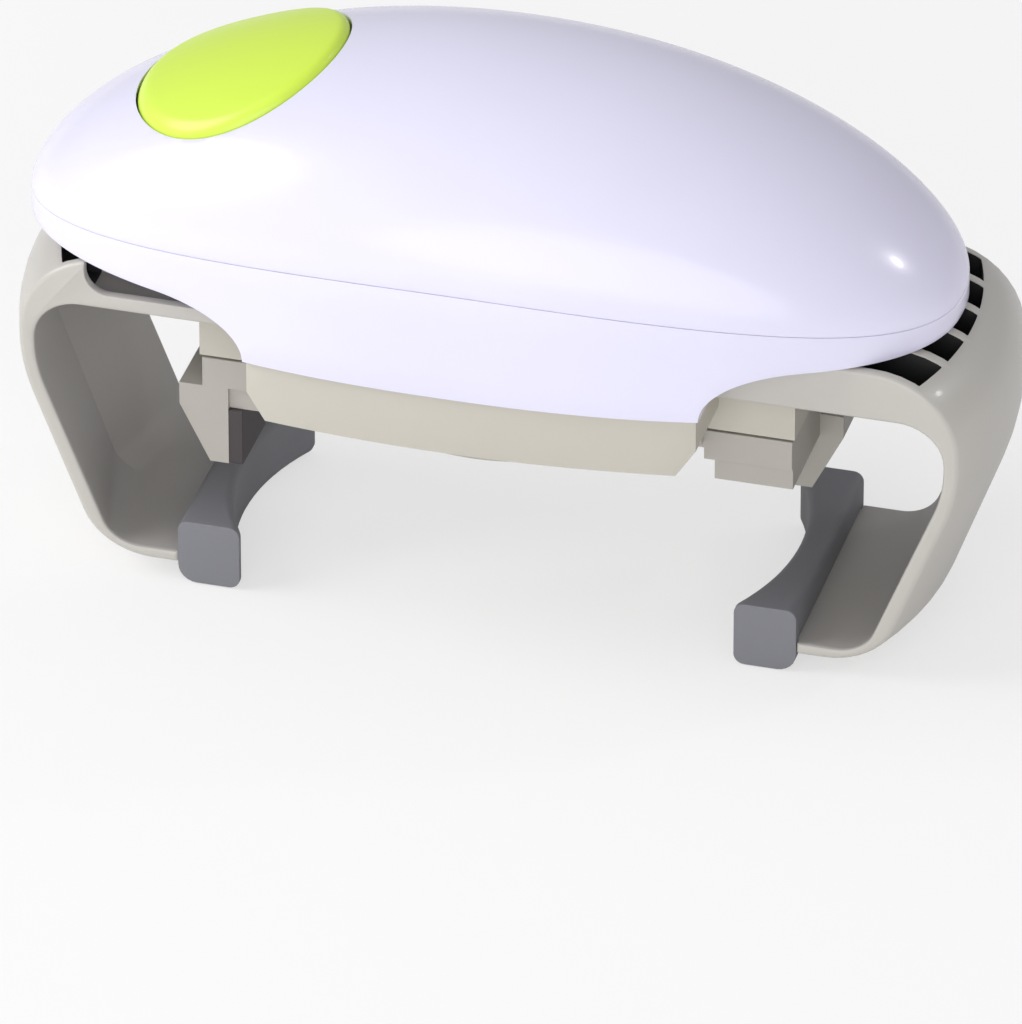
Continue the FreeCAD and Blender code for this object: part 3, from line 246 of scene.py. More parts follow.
def painted_shade_split(name, near, far, middle, reach):
    """Painted shade on plastic: one colour near a middle line, another beyond a reach either side of
    it.
    """
    material, tree = new_material(name)
    place = put(tree, "ShaderNodeTexCoord")
    split = put(tree, "ShaderNodeSeparateXYZ", {"Vector": place.outputs["Object"]})
    along = put(tree, "ShaderNodeMath", {0: split.outputs["X"], 1: middle * MM}, operation="SUBTRACT")
    out = put(tree, "ShaderNodeMath", {0: along.outputs[0]}, operation="ABSOLUTE")
    painted = put(tree, "ShaderNodeMath", {0: out.outputs[0], 1: reach * MM},
                  operation="GREATER_THAN")
    skin = put(tree, "ShaderNodeTexNoise", {"Vector": place.outputs["Object"], "Scale": 2000.0,
                                            "Detail": 2.0})
    bump = put(tree, "ShaderNodeBump", {"Height": skin.outputs["Fac"], "Strength": 0.2,
                                        "Distance": 0.00005})
    tint = put(tree, "ShaderNodeMix", {"Factor": painted.outputs[0], 6: linear(near),
                                       7: linear(far)}, data_type="RGBA")
    rough = put(tree, "ShaderNodeMapRange", {"Value": skin.outputs["Fac"], "To Min": 0.55,
                                             "To Max": 0.75})
    shader = put(tree, "ShaderNodeBsdfPrincipled",
                 {"Base Color": tint.outputs[2], "Roughness": rough.outputs[0],
                  "Normal": bump.outputs[0]})
    put(tree, "ShaderNodeOutputMaterial", {"Surface": shader.outputs[0]})
    return material


silver_lacquer = moulded("silver_gray_lacquered_abs", "C0BDB6", 0.36, 0.4, 0.12, 0.15)
# A darker gray for the inner faces of the C: painted shade.
gray_abs_painted_shade = moulded("gray_abs_painted_shade", "A8A5A1", 0.5, 0.5, 0.2)
# Painted shade for the tray and slot walls under the head: mid gray, and black beyond 79.5 mm either
# side of the head's middle.
recess_painted_shade = painted_shade_split("gray_channel_painted_shade", "8B8782", "121214", -5.0, 79.5)


def mesh_object(name, verts, faces):
    """A mesh in millimetres becomes an object in metres, with its doubles merged."""
    shape = bmesh.new()
    corners = [shape.verts.new(Vector(v) * MM) for v in verts]
    for face in faces:
        shape.faces.new([corners[i] for i in face])
    bmesh.ops.remove_doubles(shape, verts=shape.verts, dist=weld_reach)
    bmesh.ops.recalc_face_normals(shape, faces=shape.faces)
    mesh = bpy.data.meshes.new(name)
    shape.to_mesh(mesh)
    shape.free()
    made = bpy.data.objects.new(name, mesh)
    bpy.context.collection.objects.link(made)
    return made


def loft(name, rings):
    """A closed solid through rings of equal size, with a face at each end."""
    count = len(rings[0])
    verts = [point for ring in rings for point in ring]
    faces = [tuple(range(count)), tuple(range(len(verts) - count, len(verts)))]
    for i in range(len(rings) - 1):
        for k in range(count):
            a, b = i * count + k, i * count + (k + 1) % count
            faces.append((a, b, b + count, a + count))
    return mesh_object(name, verts, faces)


def block(name, low, high):
    """A plain block between two corners."""
    x0, y0, z0 = low
    x1, y1, z1 = high
    return loft(name, [[(x0, y0, z), (x1, y0, z), (x1, y1, z), (x0, y1, z)] for z in (z0, z1)])


def settle(made, *modifiers):
    """Adds modifiers by type and settings, bakes them into the mesh and takes them off again."""
    for kind, settings in modifiers:
        added = made.modifiers.new(kind.lower(), kind)
        for key, value in settings.items():
            setattr(added, key, value)
    baked = bpy.data.meshes.new_from_object(
        made.evaluated_get(bpy.context.evaluated_depsgraph_get()))
    made.modifiers.clear()
    made.data = baked
    return made


def carve(made, tools, operation="DIFFERENCE"):
    """Cuts the tools out of a piece, or joins them to it, and removes the tools."""
    for tool in tools:
        settle(made, ("BOOLEAN", {"object": tool, "operation": operation, "solver": "EXACT"}))
        bpy.data.objects.remove(tool)
    return made


def soften(made, width, angle=35.0, segments=3, clamp=True):
    """Rounds the sharp edges by width, in millimetres, and shades the rest smooth."""
    settle(made, ("BEVEL", {"width": width * MM, "segments": segments, "limit_method": "ANGLE",
                            "angle_limit": math.radians(angle), "use_clamp_overlap": clamp}))
    made.data.shade_smooth()
    made.data.set_sharp_from_angle(angle=math.radians(angle))
    return made


def finish_piece(made, body, slot, nodes, *materials):
    """Gives a piece its materials and body, and lets it stand for its solids."""
    for material in materials:
        made.data.materials.append(material)
    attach(made, body)
    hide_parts(*nodes)
    return made


def rounded(corners, steps=10):
    """A closed outline with corners of their own radius; each point keeps the mark of its corner."""
    outline = []
    count = len(corners)
    for i, (x, y, radius, mark) in enumerate(corners):
        here = Vector((x, y))
        back = (Vector(corners[i - 1][:2]) - here).normalized()
        ahead = (Vector(corners[(i + 1) % count][:2]) - here).normalized()
        if radius == 0:
            outline.append((x, y, mark))
            continue
        half = back.angle(ahead) / 2
        middle = here + (back + ahead).normalized() * radius / math.sin(half)
        start = here + back * radius / math.tan(half) - middle
        end = here + ahead * radius / math.tan(half) - middle
        swing = start.angle_signed(end)
        for k in range(steps + 1):
            point = middle + Matrix.Rotation(-swing * k / steps, 2) @ start
            outline.append((point.x, point.y, mark))
    return outline


def bowed(x, y):
    """Where a point of the side view lies at depth y: the walls bow about an upright line."""
    reach = x - arm_out + arm_curve
    return x if x < bow_start else arm_out - arm_curve + math.sqrt(reach ** 2 - y ** 2)


def creased(x, y):
    """The inner wall is made of two flats that meet in a crease in the middle."""
    return x + (bowed(x, arm_half) - x) * abs(y) / arm_half


def toothed_bar(name, start, end, back, reach, low, high, offset):
    """A rack of module 1 along X, with its teeth towards +Y."""
    pitch, half_root, half_tip, end_room = math.pi, 1.1, 0.45, 1.2
    root, tip = -reach - 1.1, -reach + 0.8
    outline = [(start, root)]
    tooth = math.ceil((start - offset) / pitch + 0.4)
    while tooth * pitch + offset + end_room < end:
        x = tooth * pitch + offset
        outline += [(x - half_root, root), (x - half_tip, tip), (x + half_tip, tip),
                    (x + half_root, root)]
        tooth += 1
    outline += [(end, root), (end, -back), (start, -back)]
    return loft(name, [[(x, y, z) for x, y in outline] for z in (low, high)])


def slot_cutter(low, high):
    """The room of one slot: straight sides and an outer end that follows the bowed wall."""
    reach = arm_curve - slot_margin
    far = [(arm_out - arm_curve + math.sqrt(reach ** 2 - y ** 2), y)
           for y in (low + (high - low) * k / 6 for k in range(7))]
    outline = [(slot_root, high), (slot_root, low)] + far
    return loft("slot", [[(x, y, z) for x, y in outline] for z in (slot_floor, cutter_top)])


def shrunk(corners, inset):
    """The corners of a clockwise outline moved inwards, with radii that keep in step."""
    moved = []
    count = len(corners)
    for i, (x, y, radius, mark) in enumerate(corners):
        here = Vector((x, y))
        back = (here - Vector(corners[i - 1][:2])).normalized()
        ahead = (Vector(corners[(i + 1) % count][:2]) - here).normalized()
        inward = Vector((back.y + ahead.y, -back.x - ahead.x)) / (1 + back.dot(ahead))
        change = -inset if back.cross(ahead) < 0 else inset
        moved.append((x + inward.x * inset, y + inward.y * inset, radius and radius + change, mark))
    return moved


window_middle = Vector((80 * MM, 0, 38 * MM))
# The inner faces of the C, past these limits, get the darker gray of painted shade.
inner_shade_start, inner_shade_top, side_tilt = 0.0648, 0.063, 0.6
# Where the tray and slot walls get painted shade.
recess_shade_start, recess_shade_end, recess_shade_half, recess_shade_low, recess_shade_floor, wall_tilt = (
    0.062, 0.0975, 0.0259, 0.0648, 0.0653, 0.3)
rim_round, sliver = 0.9, 0.03
rim_turns = [math.radians(22.5 * k) for k in range(5)]
slices = [(rim_round * (1 - math.sin(a)), arm_half - rim_round * (1 - math.cos(a))) for a in rim_turns]
slices += [(0.0, 5.4 * k) for k in range(4, -5, -1)]
slices += [(inset, -y) for inset, y in reversed(slices[:len(rim_turns)])]
for side, degrees in (("right", 0), ("left", 180)):
    arm = loft(f"{side}_arm", [[((creased if inner else bowed)(x, y), y, z)
                                for x, z, inner in rounded(shrunk(strap, inset))]
                               for inset, y in slices])
    corner = rounded([(tray_start, low_side_floor, 0, 0), (low_side_end, low_side_floor, 5, 0),
                      (low_side_end, cutter_top, 0, 0), (tray_start, cutter_top, 0, 0)])
    openings = [block("tray", (tray_start, -tray_half, slot_floor), (tray_end, tray_half, cutter_top)),
                loft("low_side", [[(x, y, z) for x, z, _ in corner] for y in (tray_half, 30)])]
    openings += [slot_cutter(slot_pitch * i + slot_start, slot_pitch * i + slot_end) for i in range(5)]
    carve(arm, openings)
    carve(arm, [block("flange_foot", (flange_start, -flange_half, foot_low),
                      (flange_end, flange_half, foot_high)),
                block("flange_lip", (flange_start, -flange_half, foot_low),
                      (lip_end, flange_half, lip_top))], "UNION")
    bar = toothed_bar("rack_bar", rack_start, rack_end, rack_back, rack_reach, rack_low, rack_high,
                      math.pi / 2)
    carve(bar, [block("rack_root", (arm_root, -rack_back, 64.9), (63, -11.25, rack_high))], "UNION")
    carve(arm, [bar], "UNION")
    settle(arm, ("WELD", {"merge_threshold": sliver * MM}))
    soften(arm, 0.3, segments=2, clamp=False)
    # Faces inside the C get the darker gray of painted shade.
    for face in arm.data.polygons:
        middle, normal = face.center, face.normal
        inside = middle.x > inner_shade_start and middle.z < inner_shade_top and abs(normal.y) < side_tilt
        if inside and normal.dot(window_middle - Vector((middle.x, 0, middle.z))) > 0:
            face.material_index = 1
        # Tray and slot walls under the head get painted shade, mid gray turning black.
        elif (recess_shade_start < middle.x < recess_shade_end and abs(middle.y) < recess_shade_half
              and middle.z > recess_shade_low and (abs(normal.z) < wall_tilt or middle.z < recess_shade_floor)):
            face.material_index = 2
    crease = {face.index for face in arm.data.polygons if face.material_index == 1}
    for face in arm.data.polygons:
        if face.index in crease:
            for a, b in face.edge_keys:
                if max(abs(arm.data.vertices[a].co.y), abs(arm.data.vertices[b].co.y)) < 1e-6:
                    arm.data.edges[arm.data.edge_keys.index((a, b))].use_edge_sharp = True
    arm.data.transform(Matrix.Rotation(math.radians(degrees), 4, "Z"))
    finish_piece(arm, f"arm_{side}", "arm_gray", [f"arm_{side}"], silver_lacquer, gray_abs_painted_shade,
                 recess_painted_shade)

# ---------------------------------------------------------------- arm pads
# Blocks of gray moulded rubber sit on the feet of the arms. The face towards the jar is hollow
# and all its edges are well rounded.
pad_rubber = moulded("matt_gray_moulded_rubber", "7C7D82", 0.6, 0.4, 0.3)
pad_back, pad_face, pad_curve, pad_height, pad_tip, pad_shoulder = 65.8, 59.4, 56.0, 14.5, 52.6, 26.75
way_start, way_half, way_low = 61.6, 26.1, 4.15
for side, degrees in (("right", 0), ("left", 180)):
    rings = []
    for y in [-arm_half, -pad_shoulder, *[3 * k for k in range(-8, 9)], pad_shoulder, arm_half]:
        face = max(pad_face - pad_curve + math.sqrt(pad_curve ** 2 - y ** 2), pad_tip)
        ring = rounded([(pad_back, pad_height, 2.2, 0), (pad_back, 0, 4.0, 0), (face, 0, 2.3, 0),
                        (face, pad_height, 2.3, 0)], 6)
        rings.append([(x, y, z) for x, z, _ in ring])
    grip = carve(loft(f"{side}_pad", rings), [
        block("flange_way", (way_start, -way_half, way_low), (67, way_half, 7.05)),
        block("lip_way", (way_start, -way_half, way_low), (64.4, way_half, 10.65))])
    soften(grip, 1.8, angle=50.0, segments=5)
    grip.data.transform(Matrix.Rotation(math.radians(degrees), 4, "Z"))
    finish_piece(grip, f"arm_{side}", "pad_rubber", [f"arm_pad_{side}"], pad_rubber)

# ---------------------------------------------------------------- gear frame and axles
# A moulded plate of dark gray glass-filled nylon is screwed on the four posts of the chassis. The
# ground steel pins on which the gears turn are pressed into it.
dress("gear_frame", moulded("dark_gray_glass_filled_nylon", "5F5E5C", 0.55, 0.3, 0.35), 0.3)
dress("gear_axles", plated("ground_steel_pins", "C2C4C8", 0.18, (1.0, 1.0, 0.05)), 0.1)

# ---------------------------------------------------------------- gears
# Gears moulded in white acetal: the output gear is fixed on the hub of the turntable, and the two
# compound gears run loose on the pins.
for node in ("output_gear", "first_gear", "second_gear"):
    dress(node, white_acetal, 0.1)

# ---------------------------------------------------------------- motor, its plate and pinion
# A small can motor with a drawn steel case, a black end cap and a turned brass pinion, on a
# zinc-plated steel plate.


def zoned(name, axis, zones, grain):
    """A coating that changes along one axis: each zone starts at its height and has its own finish."""
    material, tree = new_material(name)
    place = put(tree, "ShaderNodeTexCoord")
    split = put(tree, "ShaderNodeSeparateXYZ", {"Vector": place.outputs["Object"]})
    skin = put(tree, "ShaderNodeTexNoise", {"Vector": place.outputs["Object"],
                                            "Scale": 1 / (grain * MM), "Detail": 2.0})
    bump = put(tree, "ShaderNodeBump", {"Height": skin.outputs["Fac"], "Strength": 0.1,
                                        "Distance": 0.00004})
    surface = None
    for start, colour, metallic, roughness in zones:
        base = linear(colour)
        tint = put(tree, "ShaderNodeMix", {"Factor": skin.outputs["Fac"], 6: base,
                                           7: (base[0] * 0.9, base[1] * 0.9, base[2] * 0.9, 1.0)},
                   data_type="RGBA")
        shader = put(tree, "ShaderNodeBsdfPrincipled",
                     {"Base Color": tint.outputs[2], "Metallic": metallic, "Roughness": roughness,
                      "Normal": bump.outputs[0]})
        if surface is None:
            surface = shader.outputs[0]
            continue
        above = put(tree, "ShaderNodeMath", {0: split.outputs[axis], 1: start * MM},
                    operation="GREATER_THAN")
        surface = put(tree, "ShaderNodeMixShader", {0: above.outputs[0], 1: surface,
                                                    2: shader.outputs[0]}).outputs[0]
    put(tree, "ShaderNodeOutputMaterial", {"Surface": surface})
    return material


dress("motor_plate", zinc_plate, 0.15)
dress("motor_body", zoned("drawn_steel_case_black_cap", "Z", [
    (0, "B9BBBE", 1.0, 0.28), (105.0, "1A1A1C", 0.0, 0.5), (109.0, "B9BBBE", 1.0, 0.2)], 0.4), 0.5, 3)
dress("motor_pinion", plated("turned_brass", "C9A55A", 0.24, (1.0, 1.0, 0.08)), 0.08)

# ---------------------------------------------------------------- frame screws
# Four zinc-plated self-tapping steel screws with a cross recess hold the gear frame on the posts of
# the chassis.


def screws(name, sites, turn, sizes):
    """Cross-recess screws on given points, grown by one node tree with its sizes as inputs."""
    tree = bpy.data.node_groups.new(name, "GeometryNodeTree")
    tree.interface.new_socket("Sites", in_out="INPUT", socket_type="NodeSocketGeometry")
    for label in sizes:
        tree.interface.new_socket(label, in_out="INPUT", socket_type="NodeSocketFloat")
    tree.interface.new_socket("Screws", in_out="OUTPUT", socket_type="NodeSocketGeometry")
    given = put(tree, "NodeGroupInput").outputs
    half_head = put(tree, "ShaderNodeMath", {0: given["Head Height"], 1: 0.5}, operation="MULTIPLY")
    half_shank = put(tree, "ShaderNodeMath", {0: given["Shank Length"], 1: -0.5},
                     operation="MULTIPLY")
    head_place = put(tree, "ShaderNodeCombineXYZ", {"Z": half_head.outputs[0]})
    shank_place = put(tree, "ShaderNodeCombineXYZ", {"Z": half_shank.outputs[0]})
    recess_place = put(tree, "ShaderNodeCombineXYZ", {"Z": given["Head Height"]})
    head = put(tree, "GeometryNodeMeshCylinder", {"Vertices": 32, "Radius": given["Head Radius"],
                                                  "Depth": given["Head Height"]})
    head = put(tree, "GeometryNodeTransform", {"Geometry": head.outputs["Mesh"],
                                               "Translation": head_place.outputs[0]})
    long_side = put(tree, "ShaderNodeMath", {0: given["Head Radius"], 1: 1.2}, operation="MULTIPLY")
    thin_side = put(tree, "ShaderNodeMath", {0: given["Head Radius"], 1: 0.28},
                    operation="MULTIPLY")
    blades = []
    for x, y in ((long_side, thin_side), (thin_side, long_side)):
        extent = put(tree, "ShaderNodeCombineXYZ", {"X": x.outputs[0], "Y": y.outputs[0],
                                                    "Z": given["Head Height"]})
        blade = put(tree, "GeometryNodeMeshCube", {"Size": extent.outputs[0]})
        blades.append(put(tree, "GeometryNodeTransform", {
            "Geometry": blade.outputs["Mesh"], "Translation": recess_place.outputs[0]}).outputs[0])
    head = put(tree, "GeometryNodeMeshBoolean", {"Mesh 1": head.outputs[0], "Mesh 2": blades},
               operation="DIFFERENCE")
    shank = put(tree, "GeometryNodeMeshCylinder", {"Vertices": 20, "Radius": given["Shank Radius"],
                                                   "Depth": given["Shank Length"]})
    shank = put(tree, "GeometryNodeTransform", {"Geometry": shank.outputs["Mesh"],
                                                "Translation": shank_place.outputs[0]})
    turns = put(tree, "ShaderNodeMath", {0: given["Shank Length"], 1: given["Pitch"]},
                operation="DIVIDE")
    thread = put(tree, "GeometryNodeCurveSpiral", {
        "Resolution": 18, "Rotations": turns.outputs[0], "Start Radius": given["Shank Radius"],
        "End Radius": given["Shank Radius"], "Height": given["Shank Length"]})
    ridge_radius = put(tree, "ShaderNodeMath", {0: given["Shank Radius"], 1: 0.16},
                       operation="MULTIPLY")
    ridge = put(tree, "GeometryNodeCurvePrimitiveCircle", {"Resolution": 6,
                                                           "Radius": ridge_radius.outputs[0]})
    thread = put(tree, "GeometryNodeCurveToMesh", {"Curve": thread.outputs[0],
                                                   "Profile Curve": ridge.outputs[0],
                                                   "Fill Caps": True})
    low = put(tree, "ShaderNodeVectorMath", {0: shank_place.outputs[0], 1: (2.0, 2.0, 2.0)},
              operation="MULTIPLY")
    thread = put(tree, "GeometryNodeTransform", {"Geometry": thread.outputs[0],
                                                 "Translation": low.outputs[0]})
    one = put(tree, "GeometryNodeJoinGeometry",
              {"Geometry": [head.outputs[0], shank.outputs[0], thread.outputs[0]]})
    many = put(tree, "GeometryNodeInstanceOnPoints", {"Points": given["Sites"],
                                                      "Instance": one.outputs[0],
                                                      "Rotation": (turn, 0.0, 0.4)})
    solid = put(tree, "GeometryNodeRealizeInstances", {"Geometry": many.outputs[0]})
    coated = put(tree, "GeometryNodeSetMaterial", {"Geometry": solid.outputs[0],
                                                   "Material": zinc_plate})
    put(tree, "NodeGroupOutput", {"Screws": coated.outputs[0]})
    points = bpy.data.meshes.new(name)
    points.from_pydata([Vector(site) * MM for site in sites], [], [])
    made = bpy.data.objects.new(name, points)
    bpy.context.collection.objects.link(made)
    grower = made.modifiers.new("grow", "NODES")
    grower.node_group = tree
    for socket in tree.interface.items_tree:
        if socket.name in sizes:
            grower[socket.identifier] = sizes[socket.name] * MM
    return settle(made)


post_x, post_y, frame_screw_seat = 38, 33.8, 76.4
screw_sizes = {"Head Radius": 2.6, "Head Height": 2.0, "Shank Radius": 0.95, "Shank Length": 9.0,
               "Pitch": 1.0}
frame_screws = screws("frame_screw_set", [(x, y, frame_screw_seat) for x in (post_x, -post_x)
                                          for y in (post_y, -post_y)], 0.0, screw_sizes)
finish_piece(frame_screws, "head", "steel", ["frame_screws"])

# ---------------------------------------------------------------- lower shell
# The band under the seam is moulded in polished white ABS with a cool cast. Its rim steps up over
# each arm, with a rounded corner, and a flat floor closes it there.
half_length, half_width, dome, head_middle = 98.0, 44.0, 32.5, -5.0
seam_level, seam_drop, cover_wall, plan_power = 88.0, 9.0, 2.2, 2.3
seam_radius = (half_length ** 2 + seam_drop ** 2) / (2 * seam_drop)
rim, notch, notch_start, notch_round, shell_floor = 63.5, 74.5, 47.6, 20.0, 2.0
white_abs = moulded("polished_white_abs", "E6E4F8", 0.22, 0.6, 0.03, 0.15)


def seam_height(x):
    """Level of the seam, which sags towards both ends of the head along an arc."""
    return seam_level - seam_radius + math.sqrt(seam_radius ** 2 - (x - head_middle) ** 2)


def band(name, inset, places, low, high):
    """A solid band of the head's plan between two heights that change along it."""
    rings = []
    for x in places:
        share = min(abs(x - head_middle) / (half_length - inset), 1.0)
        width = max((half_width - inset) * (1 - share ** plan_power) ** (1 / plan_power), 0.02)
        bottom, top = low(x), high(x)
        rings.append([(x, width * side, bottom + (top - bottom) * step)
                      for side, steps in ((-1, (0, 0.25, 0.5, 0.75, 1)), (1, (1, 0.75, 0.5, 0.25, 0)))
                      for step in steps])
    return loft(name, rings)


def rim_height(x):
    """Lower edge of the band: the rim, the rounded corner and the notch over the arm."""
    along = abs(x) - notch_start
    if along <= 0:
        return rim
    if along < notch_round:
        return rim + (notch - rim) * math.sqrt(1 - (1 - along / notch_round) ** 2)
    return notch


def stations(inset, extra=()):
    """Places along the head, closer towards its ends, with the given ones added."""
    reach = half_length - inset
    steps = 150
    plain = [head_middle - reach * math.copysign(abs(math.cos(math.pi * i / steps)) ** (2 / plan_power),
                                                 math.cos(math.pi * i / steps))
             for i in range(steps + 1)]
    plain = [x for x in plain if all(abs(x - e) > 0.05 for e in extra)]
    return sorted(plain + list(extra))


corner_steps = (0.0, 0.01, 0.2, 0.6, 1.2, 2.1, 3.2, 4.5, 6.0, 8.0, 10.5, 13.5, notch_round)
corners = [side * (notch_start + step) for side in (-1, 1) for step in corner_steps]
lower = band("shell_band", 0.0, stations(0.0, corners), rim_height,
             lambda x: seam_height(x) - 0.2)
step_at = notch_start - cover_wall
cavity = band("band_cavity", cover_wall,
              stations(cover_wall, (-step_at - 0.01, -step_at, step_at, step_at + 0.01)),
              lambda x: 60.0 if abs(x) <= step_at else notch + shell_floor, lambda x: 95.0)
arm_way_end, arm_way_half = 68.6, 28.6
arm_way = block("arm_way", (-arm_way_end, -arm_way_half, 60), (arm_way_end, arm_way_half, notch))
bore_radius = 2.8
shell_sites = ((55, 24), (55, -24), (-90, 12), (-90, -12))
bores = []
for x, y in shell_sites:
    ring = [(x + bore_radius * math.cos(t * math.pi / 16), y + bore_radius * math.sin(t * math.pi / 16))
            for t in range(32)]
    bores.append(loft("screw_bore", [[(a, b, z) for a, b in ring] for z in (70.0, 78.0)]))
carve(lower, [cavity, arm_way, *bores])
soften(lower, 0.35, segments=2)
finish_piece(lower, "head", "cover_white", ["lower_shell"], white_abs)

# ---------------------------------------------------------------- circuit board, switch and spring
# A green-lacquered board carries a black push switch. The steel coil spring round its plunger
# lifts the button.
dress("circuit_board", moulded("green_lacquered_glass_board", "1E6B3A", 0.3, 0.25, 0.15), 0.1)
switch_black = moulded("black_moulded_switch_resin", "17171A", 0.4, 0.4, 0.15)
dress("button_switch", switch_black, 0.3)
dress("switch_plunger", switch_black, 0.2)


def coil(name, material, sizes, foot):
    """A round-wire coil spring grown by a node tree, standing on its foot."""
    tree = bpy.data.node_groups.new(name, "GeometryNodeTree")
    for label in sizes:
        tree.interface.new_socket(label, in_out="INPUT", socket_type="NodeSocketFloat")
    tree.interface.new_socket("Coil", in_out="OUTPUT", socket_type="NodeSocketGeometry")
    given = put(tree, "NodeGroupInput").outputs
    line = put(tree, "GeometryNodeCurveSpiral", {
        "Resolution": 40, "Rotations": given["Turns"], "Start Radius": given["Coil Radius"],
        "End Radius": given["Coil Radius"], "Height": given["Coil Height"]})
    wire = put(tree, "GeometryNodeCurvePrimitiveCircle", {"Resolution": 12,
                                                          "Radius": given["Wire Radius"]})
    swept = put(tree, "GeometryNodeCurveToMesh", {"Curve": line.outputs[0],
                                                  "Profile Curve": wire.outputs[0],
                                                  "Fill Caps": True})
    stood = put(tree, "GeometryNodeTransform", {"Geometry": swept.outputs[0],
                                                "Translation": Vector(foot) * MM})
    coated = put(tree, "GeometryNodeSetMaterial", {"Geometry": stood.outputs[0],
                                                   "Material": material})
    put(tree, "NodeGroupOutput", {"Coil": coated.outputs[0]})
    made = bpy.data.objects.new(name, bpy.data.meshes.new(name))
    bpy.context.collection.objects.link(made)
    grower = made.modifiers.new("grow", "NODES")
    grower.node_group = tree
    for socket in tree.interface.items_tree:
        if socket.name in sizes:
            factor = 1.0 if socket.name == "Turns" else MM
            grower[socket.identifier] = sizes[socket.name] * factor
    settle(made)
    made.data.shade_smooth()
    return made


music_wire = plated("drawn_music_wire", "AEB1B6", 0.22, (1.0, 1.0, 0.3))
spring = coil("return_spring", music_wire, {"Turns": 6.0, "Coil Radius": 4.25, "Coil Height": 13.0,
                                            "Wire Radius": 0.42}, (-58.8, 0, 86.55))
finish_piece(spring, "head", "steel", ["button_spring"])
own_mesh(spring)

# ---------------------------------------------------------------- batteries, holder and contacts
# Two cells with a metal can under a plain black and copper sleeve lie in a black trough between
# nickel-plated spring plates.
sleeve = zoned("shrink_sleeve_on_steel_can", "X", [
    (0, "C9CACC", 1.0, 0.25), (-24.0, "1C1D20", 0.0, 0.3), (10.0, "B5713A", 0.6, 0.3),
    (22.6, "C9CACC", 1.0, 0.25)], 0.6)
for node in ("battery_lower", "battery_upper"):
    dress(node, sleeve, 0.4, 3)
dress("battery_holder", moulded("black_moulded_holder_abs", "1B1B1D", 0.45, 0.4, 0.2), 0.25)
dress("battery_contacts", plated("nickel_plated_contact_strip", "CFCDC6", 0.22, (1.0, 0.1, 1.0)), 0.1)

# ---------------------------------------------------------------- upper cover
# The dome is one thin moulding in the same white. It is closed along a seam that sags towards both
# ends, and has an oval opening for the start button and a door at the back.


arch_power = 1.7


def head_section(share, inset):
    """Place along the head, half width and rise of the arch at one cross-section, in millimetres."""
    reach = half_length - inset
    x = math.copysign(reach * abs(math.cos(share)) ** (2 / plan_power), -math.cos(share))
    width = (half_width - inset) * max(math.sin(share), 0.0) ** (2 / plan_power)
    rise = (dome - inset) * max(1 - (x / reach) ** 2, 0.0) ** (1 / arch_power)
    return x + head_middle, width, rise


def dome_shell(name, inset_out, inset_in, along=180, across=72):
    """The closed wall between two inset copies of the dome, open below along the seam."""
    verts, faces = [], []
    for inset in (inset_out, inset_in):
        for i in range(along + 1):
            x, width, rise = head_section(math.pi * i / along, inset)
            for k in range(across + 1):
                turn = math.pi * k / across
                verts.append((x, width * math.cos(turn), seam_height(x) + rise * math.sin(turn)))
    row, layer = across + 1, (along + 1) * (across + 1)
    for i in range(along):
        for k in range(across):
            a = i * row + k
            faces.append((a, a + 1, a + row + 1, a + row))
            faces.append((layer + a, layer + a + row, layer + a + row + 1, layer + a + 1))
        for k in (0, across):
            a = i * row + k
            faces.append((a, a + row, layer + a + row, layer + a))
    return mesh_object(name, verts, faces)


button_middle, button_reach, button_spread = -58.8, 21.5, 24.5


def oval_prism(name, grow, low, high, steps=160):
    """An upright prism over the outline of the start button."""
    outline = [(button_middle + (button_reach + grow) * math.cos(2 * math.pi * i / steps),
                (button_spread + grow) * math.sin(2 * math.pi * i / steps)) for i in range(steps)]
    return loft(name, [[(x, y, z) for x, y in outline] for z in (low, high)])


door_low, door_high, door_half = 89.4, 106.0, 29.0
cover = dome_shell("cover_shell", 0.0, cover_wall)
carve(cover, [oval_prism("button_opening", 0.4, 84.0, 130.0),
              block("door_opening", (-door_half, 5, door_low), (door_half, 60, door_high))])
soften(cover, 0.3, segments=2)
finish_piece(cover, "head", "cover_white", ["upper_cover"], white_abs)

# ---------------------------------------------------------------- battery door
# A piece of the same white moulding, hinged at its lower edge, with a hair gap all round and four
# ribs for the fingertip.
door_gap, rib_start, rib_pitch, rib_half, rib_height, rib_proud = 0.35, 3.2, 1.6, 8, 0.8, 0.45
door = dome_shell("door_cover", 0.0, cover_wall)
carve(door, [block("door_outline", (-door_half + door_gap, 5, door_low + door_gap),
                   (door_half - door_gap, 60, door_high - door_gap))], "INTERSECT")
for k in range(4):
    level = door_high - rib_start - rib_pitch * k
    rib = carve(dome_shell("door_rib", -rib_proud, 0.5),
                [block("rib_outline", (-rib_half, 5, level), (rib_half, 60, level + rib_height))],
                "INTERSECT")
    carve(door, [rib], "UNION")
soften(door, 0.3, segments=2)
finish_piece(door, "battery_door", "cover_white", ["battery_door"], white_abs)

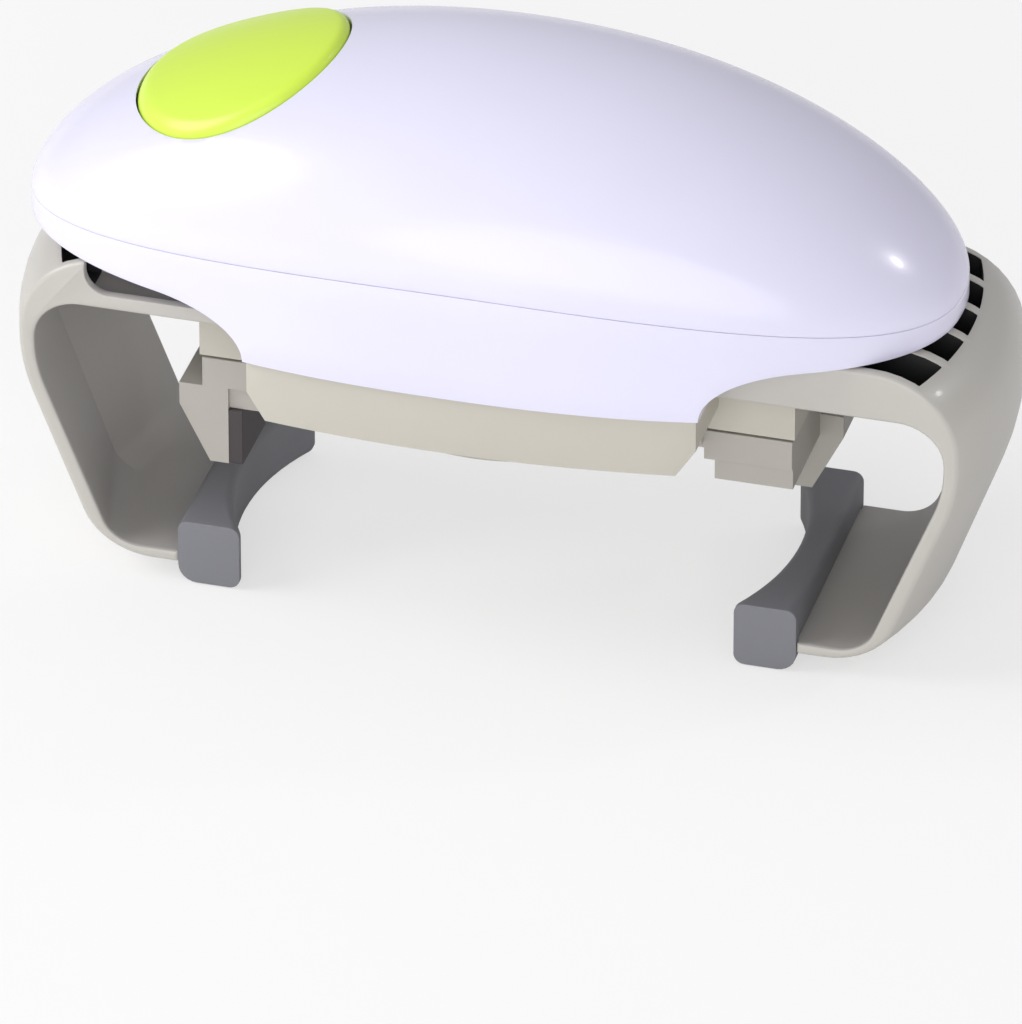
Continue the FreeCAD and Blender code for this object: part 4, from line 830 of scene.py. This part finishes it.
# ---------------------------------------------------------------- start button
# A lime ABS key, moulded in colour and left satin. Its top follows the dome and stands a little
# proud of it, with a softly rounded edge.
lime_abs = moulded("satin_lime_abs", "D6F352", 0.34, 0.5, 0.1, 0.1)
button_edge, button_proud, button_wall, button_foot, innermost = 2.6, 1.4, 2.2, 93.5, 21.4


def roof(x, y, proud):
    """Height of the dome, or of a surface that stands proud of it, over a point of its plan."""
    along = abs(x - head_middle) / (half_length + proud)
    width = (half_width + proud) * (1 - along ** plan_power) ** (1 / plan_power)
    rise = (dome + proud) * (1 - along ** 2) ** (1 / arch_power)
    return seam_height(x) + rise * math.sqrt(max(1 - (y / width) ** 2, 0.0))


def oval_ring(inset, level, steps=160):
    """A ring inside the button's outline; level gives its height from the place and the inset."""
    ring = []
    for i in range(steps):
        x = button_middle + (button_reach - inset) * math.cos(2 * math.pi * i / steps)
        y = (button_spread - inset) * math.sin(2 * math.pi * i / steps)
        ring.append((x, y, level(x, y)))
    return ring


rings = []
edge_turns = [math.radians(11.25 * k) for k in range(9)]
for inset in [innermost - 1.0 * k for k in range(19)] + [button_edge * (1 - math.sin(turn))
                                                         for turn in edge_turns]:
    drop = button_edge - math.sqrt(max(button_edge ** 2 - max(button_edge - inset, 0) ** 2, 0.0))
    rings.append(oval_ring(inset, lambda x, y, drop=drop: roof(x, y, button_proud) - drop))
for inset in (0.0, button_wall):
    rings.append(oval_ring(inset, lambda x, y: button_foot))
for inset in [button_wall] + [button_wall + 1.2 + 1.0 * k for k in range(19)]:
    rings.append(oval_ring(inset, lambda x, y: roof(x, y, button_proud) - max(
        button_edge, button_wall)))
button = loft("button_cap", rings)
button.data.shade_smooth()
button.data.set_sharp_from_angle(angle=math.radians(40))
finish_piece(button, "start_button", "button_green", ["start_button"], lime_abs)

# ---------------------------------------------------------------- housing screws
# Four more of the zinc-plated steel screws, a little longer, go in from below through the shell and
# hold the cover on it.
housing_screw_seat, housing_screw_length = 76.7, 10.0
housing_screws = screws("housing_screw_set", [(x, y, housing_screw_seat) for x, y in shell_sites],
                        math.pi, {**screw_sizes, "Shank Length": housing_screw_length})
finish_piece(housing_screws, "head", "steel", ["housing_screws"])
